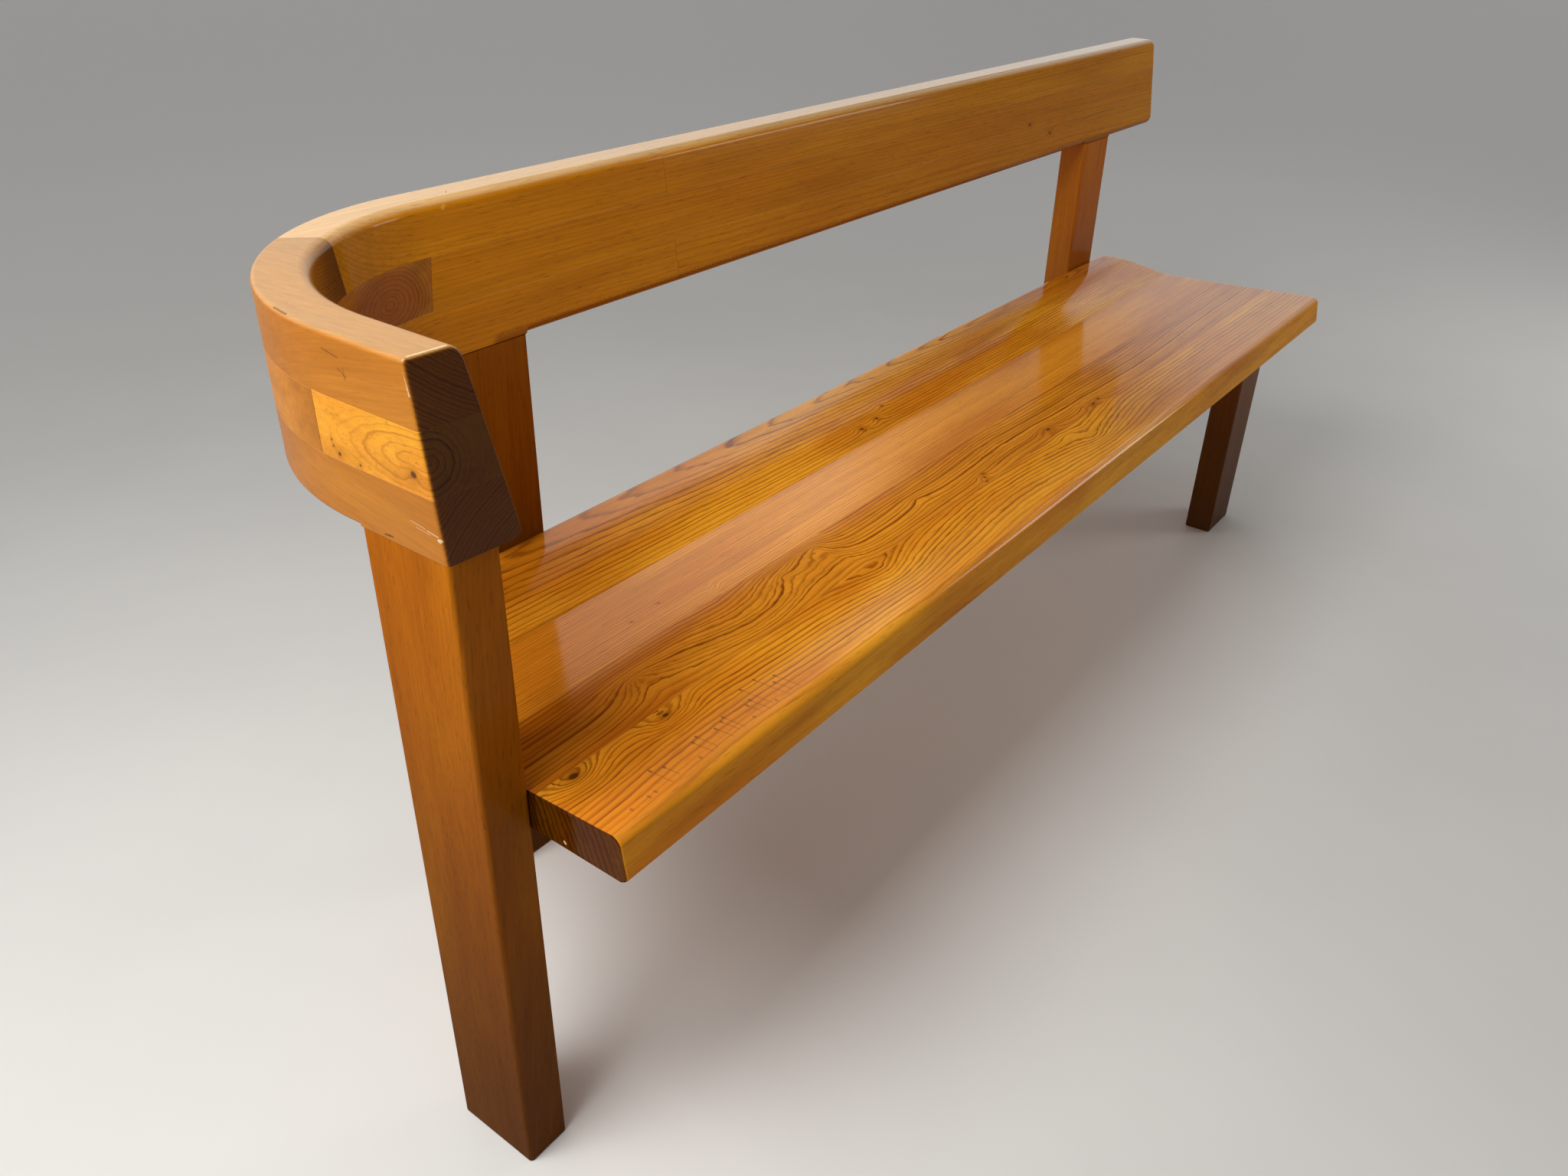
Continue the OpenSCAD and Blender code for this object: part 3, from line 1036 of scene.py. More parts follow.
def seat_finishes() -> dict[str, WoodFinish]:
    """Finishes of the four seat boards.

    Returns:
        A finish for each node.
    """
    return {
        "seat_front_board": WoodFinish(
            SEAT_ELM,
            Cut(
                Grain.ALONG, heart=(0.0, 0.10, 0.30),
                ring=0.0066, wander=0.006, contrast=1.0, seed=3.0, late=0.34, fading=(0.31, 0.40),
            ),
            knots=(
                Knot(on_seat(-0.907, -0.151), 0.019, -0.027, 0.0038, 1.4),
                Knot(on_seat(-0.797, -0.154), 0.018, -0.026, 0.0022, 1.6),
            ),
            burls=(
                Burl(on_seat(-0.790, -0.175), 0.009, 0.10, 0.12, 0.09, 0.09, 2.0),
                Burl(on_seat(-0.455, -0.152), -0.026, 0.060, 0.050, 0.050, 0.016, 1.3),
                Burl(on_seat(-0.215, -0.170), 0.012, 0.13, 0.12, 0.10, 0.10, 2.0),
                Burl(on_seat(0.020, -0.190), -0.020, 0.050, 0.060, 0.025, 0.045, 1.2),
                Burl(on_seat(0.000, -0.158), 0.012, 0.020, 0.025, 0.012, 0.012, 1.5),
                Burl(on_seat(0.190, -0.170), 0.008, 0.07, 0.30, 0.10, 0.10, 2.0),
            ),
            marks=scratches(),
            calm_front=0.8,
        ),
        "seat_middle_board": WoodFinish(
            BURR_ELM,
            Cut(
                Grain.ALONG, heart=(0.0, 0.16, 0.31),
                ring=0.0058, wander=0.005, contrast=1.0, seed=7.0,
            ),
            knots=(
                Knot(on_seat(-0.190, -0.141), 0.010, 0.0, 0.0014, 1.2),
                Knot(on_seat(-0.181, -0.133), 0.010, 0.006, 0.0014, 1.2),
                Knot(on_seat(-0.173, -0.126), 0.010, 0.0, 0.0014, 1.2),
                Knot(on_seat(0.007, -0.126), 0.016, 0.012, 0.0022, 1.6),
                Knot(on_seat(0.132, -0.134), 0.014, 0.010, 0.0018, 2.4),
                Knot(on_seat(0.154, -0.131), 0.014, 0.0, 0.0016, 1.6),
            ),
            burls=(
                Burl(on_seat(-0.770, -0.094), 0.036, 0.028, 0.058, 0.036, 0.013),
                Burl(on_seat(-0.533, -0.086), 0.012, 0.014, 0.022, 0.020, 0.009),
                Burl(on_seat(-0.615, -0.100), -0.012, 0.060, 0.060, 0.050, 0.050, 2.0),
                Burl(on_seat(-0.460, -0.071), 0.044, 0.070, 0.016, 0.045, 0.010),
                Burl(on_seat(-0.285, -0.098), 0.011, 0.020, 0.030, 0.020, 0.012),
                Burl(on_seat(-0.090, -0.100), 0.009, 0.10, 0.10, 0.08, 0.08, 2.0),
                Burl(on_seat(0.350, -0.100), -0.008, 0.16, 0.16, 0.08, 0.08, 2.0),
            ),
            marks=seat_lines(),
        ),
        "seat_hollow_board": WoodFinish(
            HOLLOW_ELM,
            Cut(
                Grain.ALONG, heart=(0.0, -0.30, 0.36),
                ring=0.0036, wander=0.003, contrast=0.75, seed=11.0,
            ),
            knots=(
                Knot(on_seat(-0.697, -0.018), 0.008, 0.0, 0.0010, 1.2),
                Knot(on_seat(-0.653, -0.014), 0.008, 0.0, 0.0010, 1.2),
                Knot(on_seat(-0.595, -0.041), 0.009, 0.007, 0.0, 1.0),
            ),
        ),
        "seat_back_board": WoodFinish(
            SEAT_ELM,
            Cut(
                Grain.ALONG, heart=(-0.65, 0.166, 0.380), tilt=(-0.057, 0.0),
                ring=0.0052, wander=0.005, contrast=1.0, seed=17.0, late=0.24,
            ),
            knots=(
                Knot(on_seat(-0.148, 0.074), 0.010, 0.006, 0.0020, 1.4),
                Knot(on_seat(-0.106, 0.078), 0.010, 0.006, 0.0018, 1.4),
                Knot(on_seat(-0.070, 0.094), 0.010, 0.004, 0.0010, 1.4),
            ),
        ),
    }


def post_finishes() -> dict[str, WoodFinish]:
    """Finishes of the three posts and the leg.

    Returns:
        A finish for each node.
    """
    uprights = {
        "front_left_post": (POST_ELM, POST_COAT, (-0.955, -0.20, 0.3), (0.10, 0.03)),
        # The back left post and the leg take darker copies of the post timber, as painted shade for the
        # shade they stand in
        "back_left_post": (POST_ELM.toned(0.75), POST_COAT, (-0.60, 0.33, 0.3), (0.012, 0.016)),
        "back_right_post": (POST_ELM.toned(1.25), SHINY_POST_COAT, (0.80, 0.33, 0.3), (0.012, 0.016)),
        LEG: (POST_ELM.toned(0.75), SHINY_POST_COAT, (0.80, -0.05, 0.2), (0.012, 0.016)),
    }
    return {
        node: WoodFinish(
            timber,
            Cut(
                Grain.UPRIGHT, heart=heart, tilt=tilt,
                ring=0.0035, wander=0.004, contrast=0.28, seed=21.0 + 2.0 * turn,
            ),
            coat,
            # painted shade towards the foot
            foot_shade=0.70,
        )
        for turn, (node, (timber, coat, heart, tilt)) in enumerate(uprights.items())
    }


def rail_finishes() -> dict[str, WoodFinish]:
    """Finishes of the layers of the rail.

    Returns:
        A finish for each node.
    """
    hearts = {
        "rail_top_long": (0.3, 0.32, 0.92),
        "rail_top_curved": (-0.6, 0.30, 0.88),
        "rail_middle": (0.0, 0.26, 0.62),
        "rail_bottom_long": (0.3, 0.31, 0.60),
        "rail_bottom_curved": (-0.6, 0.30, 0.56),
    }
    nick = (
        Mark((-0.678, 0.2185, 0.8150), (-0.684, 0.2125, 0.8146), 0.0014, UMBER, 0.6),
        Mark((-0.685, 0.2110, 0.8145), (-0.700, 0.1990, 0.8060), 0.0036, HONEY, 0.5),
    )
    # Painted shade: a dark reddish band along the underside edge of the rail, where its rounding turns
    # into shadow
    painted_foot_shade = Mark((-0.66, 0.186, 0.668), (0.98, 0.186, 0.668), 0.018, (0.20, 0.050, 0.002), 0.7)
    return {
        node: WoodFinish(
            RAIL_ELM,
            Cut(
                Grain.ALONG, heart=heart, tilt=(0.006, 0.008),
                ring=0.0038, wander=0.005, contrast=0.40, seed=31.0 + 2.0 * turn,
            ),
            RAIL_COAT,
            knots=(
                Knot((0.485, 0.1893, 0.728), 0.012, 0.006, 0.0018, 2.0),
                Knot((0.557, 0.1867, 0.706), 0.012, 0.006, 0.0018, 2.0),
            ),
            marks=(painted_foot_shade, *nick),
        )
        for turn, (node, heart) in enumerate(hearts.items())
    }


def arm_finishes() -> dict[str, WoodFinish]:
    """Finishes of the layers of the arm and of the block in the corner.

    Returns:
        A finish for each node.
    """
    face = BenchSizes().arm_face_x

    def stroke(
        start: tuple[float, float], end: tuple[float, float], width: float, shade: Colour, share: float
    ) -> Mark:
        """Draws a mark on the arm's outer face, from places given as Y and Z."""
        return Mark((face, *start), (face, *end), width, shade, share)

    return {
        "corner_middle": WoodFinish(
            BLOCK_ELM,
            Cut(
                Grain.SLANTING, heart=(-0.785, 0.181, 0.7365), tilt=(0.0, 0.107),
                ring=0.0034, wander=0.003, contrast=0.60, seed=41.0,
                heartwood=0.030, fading=(0.024, 0.048),
            ),
            ARM_COAT,
            pores=0.10,
        ),
        "arm_top": WoodFinish(
            ARM_ELM,
            Cut(
                Grain.ACROSS, heart=(-0.86, 0.0, 0.93), tilt=(0.14, 0.05),
                ring=0.0030, wander=0.004, contrast=0.20, seed=43.0,
            ),
            ARM_COAT,
            pores=0.10,
            marks=(
                stroke((-0.029, 0.8017), (-0.0456, 0.7990), 0.0014, UMBER, 0.5),
                stroke((-0.044, 0.7910), (-0.0520, 0.7862), 0.0016, UMBER, 0.4),
                stroke((-0.050, 0.7925), (-0.0505, 0.7840), 0.0012, UMBER, 0.4),
                Mark((-0.9815, 0.036, 0.8146), (-0.9848, 0.016, 0.8146), 0.0018, UMBER, 0.7),
                # Painted highlights: pale lines along the top and outer edges of the end face, where
                # the rounded edges catch the light
                Mark((-0.985, -0.1158, 0.8145), (-0.955, -0.1180, 0.8145), 0.0014, CREAM, 0.8),
                Mark((-0.9893, -0.1160, 0.8100), (-0.9895, -0.1195, 0.7900), 0.0010, CREAM, 0.6),
            ),
        ),
        "arm_middle": WoodFinish(
            PALE_ELM,
            Cut(
                Grain.ACROSS, heart=(-0.990, -0.118, 0.742), tilt=(0.03, 0.31),
                ring=0.0050, wander=0.003, contrast=0.62, seed=47.0, late=0.22, fading=(0.018, 0.038),
            ),
            ARM_COAT,
            knots=(
                Knot((-0.990, -0.112, 0.732), 0.010, 0.005, 0.0028, 1.2),
                Knot((-0.990, -0.0207, 0.732), 0.006, 0.0, 0.0009, 1.0),
                Knot((-0.990, -0.0222, 0.7276), 0.006, 0.0, 0.0009, 1.0),
                Knot((-0.990, -0.0280, 0.7228), 0.006, 0.0, 0.0016, 1.0),
                Knot((-0.990, -0.0514, 0.7208), 0.006, 0.0, 0.0010, 1.0),
                Knot((-0.990, -0.0120, 0.752), 0.009, 0.007, 0.0, 1.0),
            ),
        ),
        "arm_bottom": WoodFinish(
            ARM_ELM,
            Cut(
                Grain.ACROSS, heart=(-0.88, 0.0, 0.58), tilt=(-0.12, 0.06),
                ring=0.0032, wander=0.004, contrast=0.20, seed=53.0,
            ),
            ARM_COAT,
            pores=0.10,
            scar=Scar((-0.9895, -0.1305, 0.6872), (0.0030, 0.0026, 0.0022)),
            marks=(
                stroke((-0.100, 0.6936), (-0.116, 0.6920), 0.0006, CREAM, 0.45),
                stroke((-0.118, 0.6912), (-0.1295, 0.6898), 0.0008, CREAM, 0.6),
                stroke((-0.106, 0.6900), (-0.121, 0.6888), 0.0005, CREAM, 0.35),
                stroke((-0.0675, 0.6714), (-0.0763, 0.6723), 0.0016, UMBER, 0.8),
            ),
        ),
    }


# Seat


@dataclass
class Seat:
    """Seat of four boards glued edge to edge and hollowed along its length."""

    sizes: BenchSizes
    joinery: "Joinery"
    front_lean: float = 0.007
    edge_radius: float = 0.010
    lower_edge_radius: float = 0.006
    corner_radius: float = 0.008
    curve_radius: float = 0.216
    back_radius: float = 0.008
    ease: float = 0.003
    end_ease: float = 0.0025
    joint_ease: float = 0.0002
    nose_run: float = 0.026
    rim_run: float = 0.003
    full_width: float = 0.020
    least_width: float = 0.0012
    round_room: float = 1.2
    rim_share: float = 0.4
    round_share: float = 0.3
    rows: int = 22
    finishes: dict[str, WoodFinish] = field(default_factory=seat_finishes)

    def back_limit(self, x: float) -> float:
        """Back edge of the seat at one place, which curves away at the left."""
        start = self.sizes.seat_left_x + self.curve_radius
        return self.sizes.back_post_y - drop(self.curve_radius, start - x)

    def front_push(self, x: float) -> float:
        """How far the rounded corners set the front edge back at one place."""
        left = drop(self.ease, self.sizes.seat_left_x + self.ease - x)
        return left + drop(self.corner_radius, x - (self.sizes.seat_right_x - self.corner_radius))

    def ring(self, x: float, y_from: float, y_to: float, inset: float) -> list[Vector]:
        """Outline of one board at one place along the bench.

        Args:
            x: Place along the bench.
            y_from: Front edge or joint of the board.
            y_to: Back edge or joint of the board.
            inset: How far the rounded end draws the outline in.

        Returns:
            The points of the outline.
        """
        s = self.sizes
        limit = self.back_limit(x)
        front, back, front_z, lean = y_from, min(y_to, limit), s.seat_top(y_from), 0.0
        low_front = high_front = low_back = high_back = self.joint_ease
        if limit < y_to or y_to >= s.back_post_y:
            back -= inset
            straight = max(0.0, min(1.0, (limit - s.hollow_y) / s.back_board_depth)) ** 4
            low_back, high_back = self.ease, self.ease + (self.back_radius - self.ease) * straight
        run = self.rim_run * min(1.0, (back - front) / self.full_width)
        if y_from <= s.seat_front_y:
            front += self.front_push(x) + inset
            low_front, high_front = self.lower_edge_radius, self.edge_radius
            front_z, lean, run = s.seat_height, self.front_lean, self.nose_run
        width = back - front
        first = front + run
        last = back - min(self.rim_run + self.round_room * high_back, self.rim_share * width)
        tops = [first + (last - first) * k / self.rows for k in range(self.rows + 1)]
        under = s.seat_under_z + inset
        points = [
            Vector((x, front, under)),
            Vector((x, front + lean, front_z - inset)),
            *(Vector((x, y, s.seat_top(y) - inset)) for y in [*tops, back]),
            Vector((x, back, under)),
        ]
        radii = [low_front, high_front, *[0.0] * len(tops), high_back, low_back]
        return rounded(points, [min(self.round_share * width, radius) for radius in radii])

    def stations(self, y_from: float, y_to: float) -> list[tuple[float, float]]:
        """Places along the bench where a board's outline is drawn.

        Args:
            y_from: Front edge or joint of the board.
            y_to: Back edge or joint of the board.

        Returns:
            Pairs of a place and how far the end draws the outline in.
        """
        left, right, ease = self.sizes.seat_left_x, self.sizes.seat_right_x, self.end_ease
        places = [(0.0, 0.0)]
        for angle in (math.radians(degrees) for degrees in (90, 67, 45, 22, 0)):
            places.append((left + ease * (1 - math.sin(angle)), ease * (1 - math.cos(angle))))
        for angle in (math.radians(degrees) for degrees in range(3, 93, 3)):
            places.append((left + self.curve_radius * (1 - math.cos(angle)), 0.0))
        for angle in (math.radians(degrees) for degrees in range(0, 105, 15)):
            x = right - self.corner_radius * (1 - math.sin(angle))
            places.append((x, drop(ease, x - (right - ease))))
        behind = y_from + self.least_width
        return sorted({(x, inset) for x, inset in places if min(y_to, self.back_limit(x)) > behind})

    def build(self) -> list[bpy.types.Object]:
        """Builds the four boards from front to back.

        Returns:
            The finished pieces.
        """
        s = self.sizes
        joints = (s.seat_front_y, s.front_joint_y, s.middle_joint_y, s.hollow_y, s.back_post_y)
        boards = []
        for (node, finish), *ends in zip(self.finishes.items(), joints, joints[1:]):
            blank = Blank.swept([self.ring(x, *ends, inset) for x, inset in self.stations(*ends)])
            blank.combine(self.joinery.seat_sockets(*ends), "DIFFERENCE")
            boards.append(blank.piece(node, finish))
        return boards


# Joints inside the bench


@dataclass
class Joinery:
    """Tenons, dowels and the sockets that they go into."""

    sizes: BenchSizes
    tenon_thickness: float = 0.015
    tenon_shoulder: float = 0.015
    tenon_root: float = 0.002
    post_tenon_length: float = 0.034
    leg_tenon_length: float = 0.026
    dowel_diameter: float = 0.012
    dowel_in_post: float = 0.028
    dowel_in_seat: float = 0.036
    dowel_spacing: float = 0.044
    dowel_sides: int = 48
    glue_room: float = 0.00015

    def peg_hole(self, start: Vector, end: Vector) -> Blank:
        """Makes the waste of a round hole.

        Args:
            start: Middle of one end.
            end: Middle of the other end.

        Returns:
            The waste.
        """
        radius = self.dowel_diameter / 2 + self.glue_room
        side = (end - start).normalized().cross(UP)
        turns = [2 * math.pi * k / self.dowel_sides for k in range(self.dowel_sides)]
        circle = [(UP * math.cos(turn) + side * math.sin(turn)) * radius for turn in turns]
        return Blank.swept([[middle + point for point in circle] for middle in (start, end)])

    def tenon(self, node: str, room: float = 0.0) -> Blank:
        """Makes the tenon on top of an upright or, with room for glue, the socket for it.

        Args:
            node: Name of the upright.
            room: Room for glue.

        Returns:
            The tenon.
        """
        low, high = self.uprights()[node]
        length = self.leg_tenon_length if node == LEG else self.post_tenon_length
        size = high - low
        wide = max(size.x, size.y) / 2 - self.tenon_shoulder + room
        thick = self.tenon_thickness / 2 + room
        half = Vector((wide, thick, 0.0) if size.x > size.y else (thick, wide, 0.0))
        top = Vector(((low.x + high.x) / 2, (low.y + high.y) / 2, high.z))
        corners = (top - half - UP * self.tenon_root, top + half + UP * (length + room))
        return Blank.swept([rectangle(*corners, corner.z) for corner in corners])

    def peg_sockets(self, post: str) -> list[Blank]:
        """Sockets of the pair of dowels between a post and the seat.

        Args:
            post: Name of the post.

        Returns:
            The two sockets.
        """
        inwards, across = (RIGHT, BACK) if post == "front_left_post" else (-BACK, RIGHT)
        low, high = self.uprights()[post]
        face = (low + high) / 2 + inwards * self.sizes.post_thickness / 2
        face.z = self.sizes.seat_under_z + self.sizes.seat_thickness / 2
        start = face - inwards * (self.dowel_in_post + self.glue_room)
        end = face + inwards * (self.dowel_in_seat + self.glue_room)
        shifts = [across * self.dowel_spacing / 2 * side for side in (-1, 1)]
        return [self.peg_hole(start + shift, end + shift) for shift in shifts]

    def uprights(self) -> dict[str, tuple[Vector, Vector]]:
        """Lowest and highest corner of each post and of the leg.

        Returns:
            The two corners for each node.
        """
        s = self.sizes
        wide, thick = s.post_width, s.post_thickness
        leg_y = s.seat_front_y + s.leg_setback
        corners = {
            "front_left_post": (s.arm_face_x, s.post_front_y, thick, wide, s.rail_under_z),
            "back_left_post": (s.back_left_x, s.back_post_y, wide, thick, s.rail_under_z),
            "back_right_post": (s.back_right_x, s.back_post_y, wide, thick, s.rail_under_z),
            LEG: (s.leg_x, leg_y, wide, thick, s.seat_under_z),
        }
        return {
            node: (Vector((x, y, 0.0)), Vector((x + across, y + deep, z)))
            for node, (x, y, across, deep, z) in corners.items()
        }

    def seat_sockets(self, y_from: float, y_to: float) -> list[Blank]:
        """Sockets that reach one board of the seat.

        Args:
            y_from: Front edge or joint of the board.
            y_to: Back edge or joint of the board.

        Returns:
            The sockets, none where nothing reaches the board.
        """
        sockets = []
        middle_y = sum(corner.y for corner in self.uprights()[LEG]) / 2
        half = self.tenon_thickness / 2
        if y_from < middle_y + half and y_to > middle_y - half:
            sockets.append(self.tenon(LEG, self.glue_room))
        if y_from <= self.sizes.post_front_y < y_to - self.sizes.post_width / 2:
            sockets += self.peg_sockets("front_left_post")
        if y_to >= self.sizes.back_post_y:
            sockets += self.peg_sockets("back_left_post") + self.peg_sockets("back_right_post")
        return sockets

    @staticmethod
    def dress(nodes: dict[str, bpy.types.Object]) -> list[bpy.types.Object]:
        """Gives the dowels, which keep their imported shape, their own wood.

        Args:
            nodes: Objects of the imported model.

        Returns:
            The dressed dowels.
        """
        grains = {
            "left_end_dowels": Grain.ALONG,
            "back_left_dowels": Grain.ACROSS,
            "back_right_dowels": Grain.ACROSS,
        }
        for node, grain in grains.items():
            low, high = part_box(node)
            middle = tuple((a + b) / 2 for a, b in zip(low, high))
            finish = WoodFinish(BEECH, Cut(grain, heart=middle, ring=0.002, wander=0.002, contrast=0.4))
            nodes[node].data.materials.clear()
            nodes[node].data.materials.append(finish.material(node))
        return [nodes[node] for node in grains]


# Posts and leg


@dataclass
class Uprights:
    """Three posts and the front right leg."""

    joinery: Joinery
    ease: float = 0.004
    foot_ease: float = 0.0015
    finishes: dict[str, WoodFinish] = field(default_factory=post_finishes)

    def shaft(self, low: Vector, high: Vector) -> Blank:
        """Makes one upright with eased edges and a softened foot.

        Args:
            low: Lowest corner.
            high: Highest corner.

        Returns:
            The upright without its tenon.
        """
        levels = ((low.z, self.foot_ease), (low.z + self.foot_ease, 0.0), (high.z, 0.0))
        return Blank.swept(
            [
                rounded(rectangle(low, high, z, inset), [self.ease - 0.5 * inset] * 4)
                for z, inset in levels
            ]
        )

    def build(self) -> list[bpy.types.Object]:
        """Builds the uprights with their tenons and the sockets for the dowels.

        Returns:
            The finished pieces.
        """
        pieces = []
        for node, corners in self.joinery.uprights().items():
            blank = self.shaft(*corners).combine([self.joinery.tenon(node)], "UNION")
            if node != LEG:
                blank.combine(self.joinery.peg_sockets(node), "DIFFERENCE")
            pieces.append(blank.piece(node, self.finishes[node]))
        return pieces


# Back rail, corner and arm


class Layer(Enum):
    """The three layers that are glued on one another, counted from the bottom."""

    BOTTOM = 0
    MIDDLE = 1
    TOP = 2


class Run(Flag):
    """Stretches of the backrest's path."""

    ARM = auto()
    CORNER = auto()
    RAIL = auto()


@dataclass
class Backrest:
    """Back rail that bends round the corner into the arm, in three glued layers."""

    sizes: BenchSizes
    joinery: Joinery
    ease: float = 0.004
    hand_radius: float = 0.011
    foot_radius: float = 0.008
    post_foot_radius: float = 0.0015
    end_radius: float = 0.010
    end_ease: float = 0.0025
    arm_foot_width: float = 0.067
    arm_end_turn: float = 3.5
    arm_end_lean: float = 6.6
    arm_end_ease: float = 0.0038
    arm_end_inner_ease: float = 0.0018
    slant_shift: float = 0.042
    arm_joint_shift: float = 0.020
    rail_joint_shift: float = 0.008
    rail_joint_lean: float = 12.0
    top_butt_reach: float = 0.597
    bottom_butt_reach: float = 0.601
    post_fade: float = 0.004
    seam_ease: float = 0.0003
    joint_ease: float = 0.0002
    on_joint: float = 1e-5
    arm_shares: tuple[float, ...] = (0.85, 0.6, 0.35, 0.13, 0.11, 0.06)
    corner_steps: int = 40
    finishes: dict[str, WoodFinish] = field(default_factory=lambda: rail_finishes() | arm_finishes())

    def outline(
        self, layer: Layer, foot_width: float, outer_square: bool = False, inner_square: bool = False
    ) -> list[Vector]:
        """Section of one layer: X inwards from the outer face, Y up from the underside.

        Args:
            layer: Which layer.
            foot_width: Width of the whole section at its underside.
            outer_square: Whether the outer lower edge is left nearly square over a post.
            inner_square: The same for the inner lower edge.

        Returns:
            The points of the outline.
        """
        s = self.sizes
        low_z = layer.value * s.layer_height
        high_z = low_z + s.layer_height
        taper = (foot_width - s.rail_top_width) / s.rail_height
        corners = [
            Vector((0.0, low_z, 0.0)),
            Vector((foot_width - taper * low_z, low_z, 0.0)),
            Vector((foot_width - taper * high_z, high_z, 0.0)),
            Vector((0.0, high_z, 0.0)),
        ]
        radii = [self.seam_ease] * 4
        if layer is Layer.BOTTOM:
            radii[0] = self.seam_ease if outer_square else self.ease
            radii[1] = self.post_foot_radius if inner_square else self.foot_radius
        if layer is Layer.TOP:
            radii[2:] = self.hand_radius, self.ease
        return rounded(corners, radii, 8)

    def drawn_in(self, height: float, layer: Layer, amount: float) -> float:
        """Height of a point when the rounding of an end draws its layer in towards the middle one.

        Args:
            height: Height above the underside.
            layer: Which layer.
            amount: How far the layer's outer face is drawn in.

        Returns:
            The new height.
        """
        high = self.sizes.layer_height
        seam = {Layer.BOTTOM: high, Layer.MIDDLE: height, Layer.TOP: 2 * high}[layer]
        return seam + (height - seam) * (1 - amount / high)

    def arm_ring(self, layer: Layer, share: float, turn: float = 0.0) -> list[Vector]:
        """Ring of the arm: share runs from 0 at the corner to 1 at the end face.

        Args:
            layer: Which layer.
            share: Place along the arm.
            turn: Angle round the eased edges of the end face, 90 on the face itself.

        Returns:
            The points of the ring.
        """
        s = self.sizes
        centre = s.curve_centre
        reach = s.post_front_y - centre.y
        foot = s.rail_foot_width * (1 - share) + self.arm_foot_width * share
        angle = math.radians(turn)
        outer, inner = (
            ease * (1 - math.cos(angle)) for ease in (self.arm_end_ease, self.arm_end_inner_ease)
        )
        back = self.arm_end_ease * (1 - math.sin(angle)) if share == 1 else 0.0
        over_post = share * reach < s.post_front_y + s.post_width - centre.y
        turned, leaning = (
            math.tan(math.radians(degrees)) for degrees in (self.arm_end_turn, self.arm_end_lean)
        )
        ring = []
        for point in self.outline(layer, foot, outer_square=over_post):
            end_y = reach - point.x * turned + point.y * leaning
            width = foot - (foot - s.rail_top_width) * point.y / s.rail_height
            across = outer + point.x * (width - outer - inner) / width
            up = self.drawn_in(point.y, layer, outer if layer is Layer.TOP else 0.0)
            ring.append(centre + Vector((across - s.corner_radius, end_y * share + back, up)))
        return ring

    def corner_ring(self, layer: Layer, turn: float) -> list[Vector]:
        """Ring in the curve: turn runs from 0 at the arm to 90 degrees at the rail.

        Args:
            layer: Which layer.
            turn: Angle from the arm, in degrees.

        Returns:
            The points of the ring.
        """
        s = self.sizes
        angle = math.radians(180 - turn)
        outwards = Vector((math.cos(angle), math.sin(angle), 0.0))
        return [
            s.curve_centre + outwards * (s.corner_radius - point.x) + UP * point.y
            for point in self.outline(layer, s.rail_foot_width)
        ]

    def rail_ring(self, layer: Layer, x: float) -> list[Vector]:
        """Ring of the straight rail, which is rounded at its right end.

        Args:
            layer: Which layer.
            x: Place along the rail.

        Returns:
            The points of the ring.
        """
        s = self.sizes
        fall = drop(self.end_radius, x - (s.rail_end_x - self.end_radius))
        draw = drop(self.end_ease, x - (s.rail_end_x - self.end_ease))
        over_post = any(left <= x <= left + s.post_width for left in (s.back_left_x, s.back_right_x))
        middle = s.rail_top_width / 2
        ring = []
        for point in self.outline(layer, s.rail_foot_width, inner_square=over_post):
            inwards = middle + (point.x - middle) * (1 - draw / middle)
            up = self.drawn_in(point.y, layer, fall)
            ring.append(Vector((x, s.rail_back_y - inwards, s.rail_under_z + up)))
        return ring

    def sweep(self, layer: Layer, run: Run) -> Blank:
        """Sweeps one layer along its stretches of the path.

        Args:
            layer: Which layer.
            run: The stretches.

        Returns:
            The blank, still without its joints.
        """
        s = self.sizes
        rings = []
        if Run.ARM in run:
            rings += [self.arm_ring(layer, 1, turn) for turn in (90, 67.5, 45, 22.5, 0)]
            rings += [self.arm_ring(layer, share) for share in self.arm_shares]
        if Run.CORNER in run:
            turns = [90 * k / self.corner_steps for k in range(self.corner_steps)]
            rings += [self.corner_ring(layer, turn) for turn in turns]
        if Run.RAIL in run:
            places = [s.curve_centre.x]
            for left in (s.back_left_x, s.back_right_x):
                if left > s.curve_centre.x + self.post_fade:
                    places += [left - self.post_fade, left]
                places += [left + s.post_width, left + s.post_width + self.post_fade]
            for degrees in range(0, 105, 15):
                places.append(s.rail_end_x - self.end_radius * (1 - math.sin(math.radians(degrees))))
            rings += [self.rail_ring(layer, x) for x in places]
        else:
            rings.append(self.corner_ring(layer, 90))
        return Blank.swept(rings)

    def finished(
        self, node: str, layer: Layer, run: Run, *cuts: tuple[Vector, Vector]
    ) -> bpy.types.Object:
        """Sweeps a piece, cuts it at its joints, softens the edges of the joints and dresses it.

        Args:
            node: Name of the node.
            layer: Its layer.
            run: Its stretches of the path.
            cuts: A point and the direction of the waste for each joint.

        Returns:
            The finished piece.
        """
        blank = self.sweep(layer, run)
        for cut in cuts:
            blank.cut(*cut)
        for point, waste in cuts:
            blank.soften(
                self.joint_ease,
                lambda middle, p=point, n=waste: abs((middle - p).dot(n)) < self.on_joint,
            )
        posts = {
            "rail_bottom_long": "back_right_post",
            "rail_bottom_curved": "back_left_post",
            "arm_bottom": "front_left_post",
        }
        if node in posts:
            blank.combine([self.joinery.tenon(posts[node], self.joinery.glue_room)], "DIFFERENCE")
        return blank.piece(node, self.finishes[node])

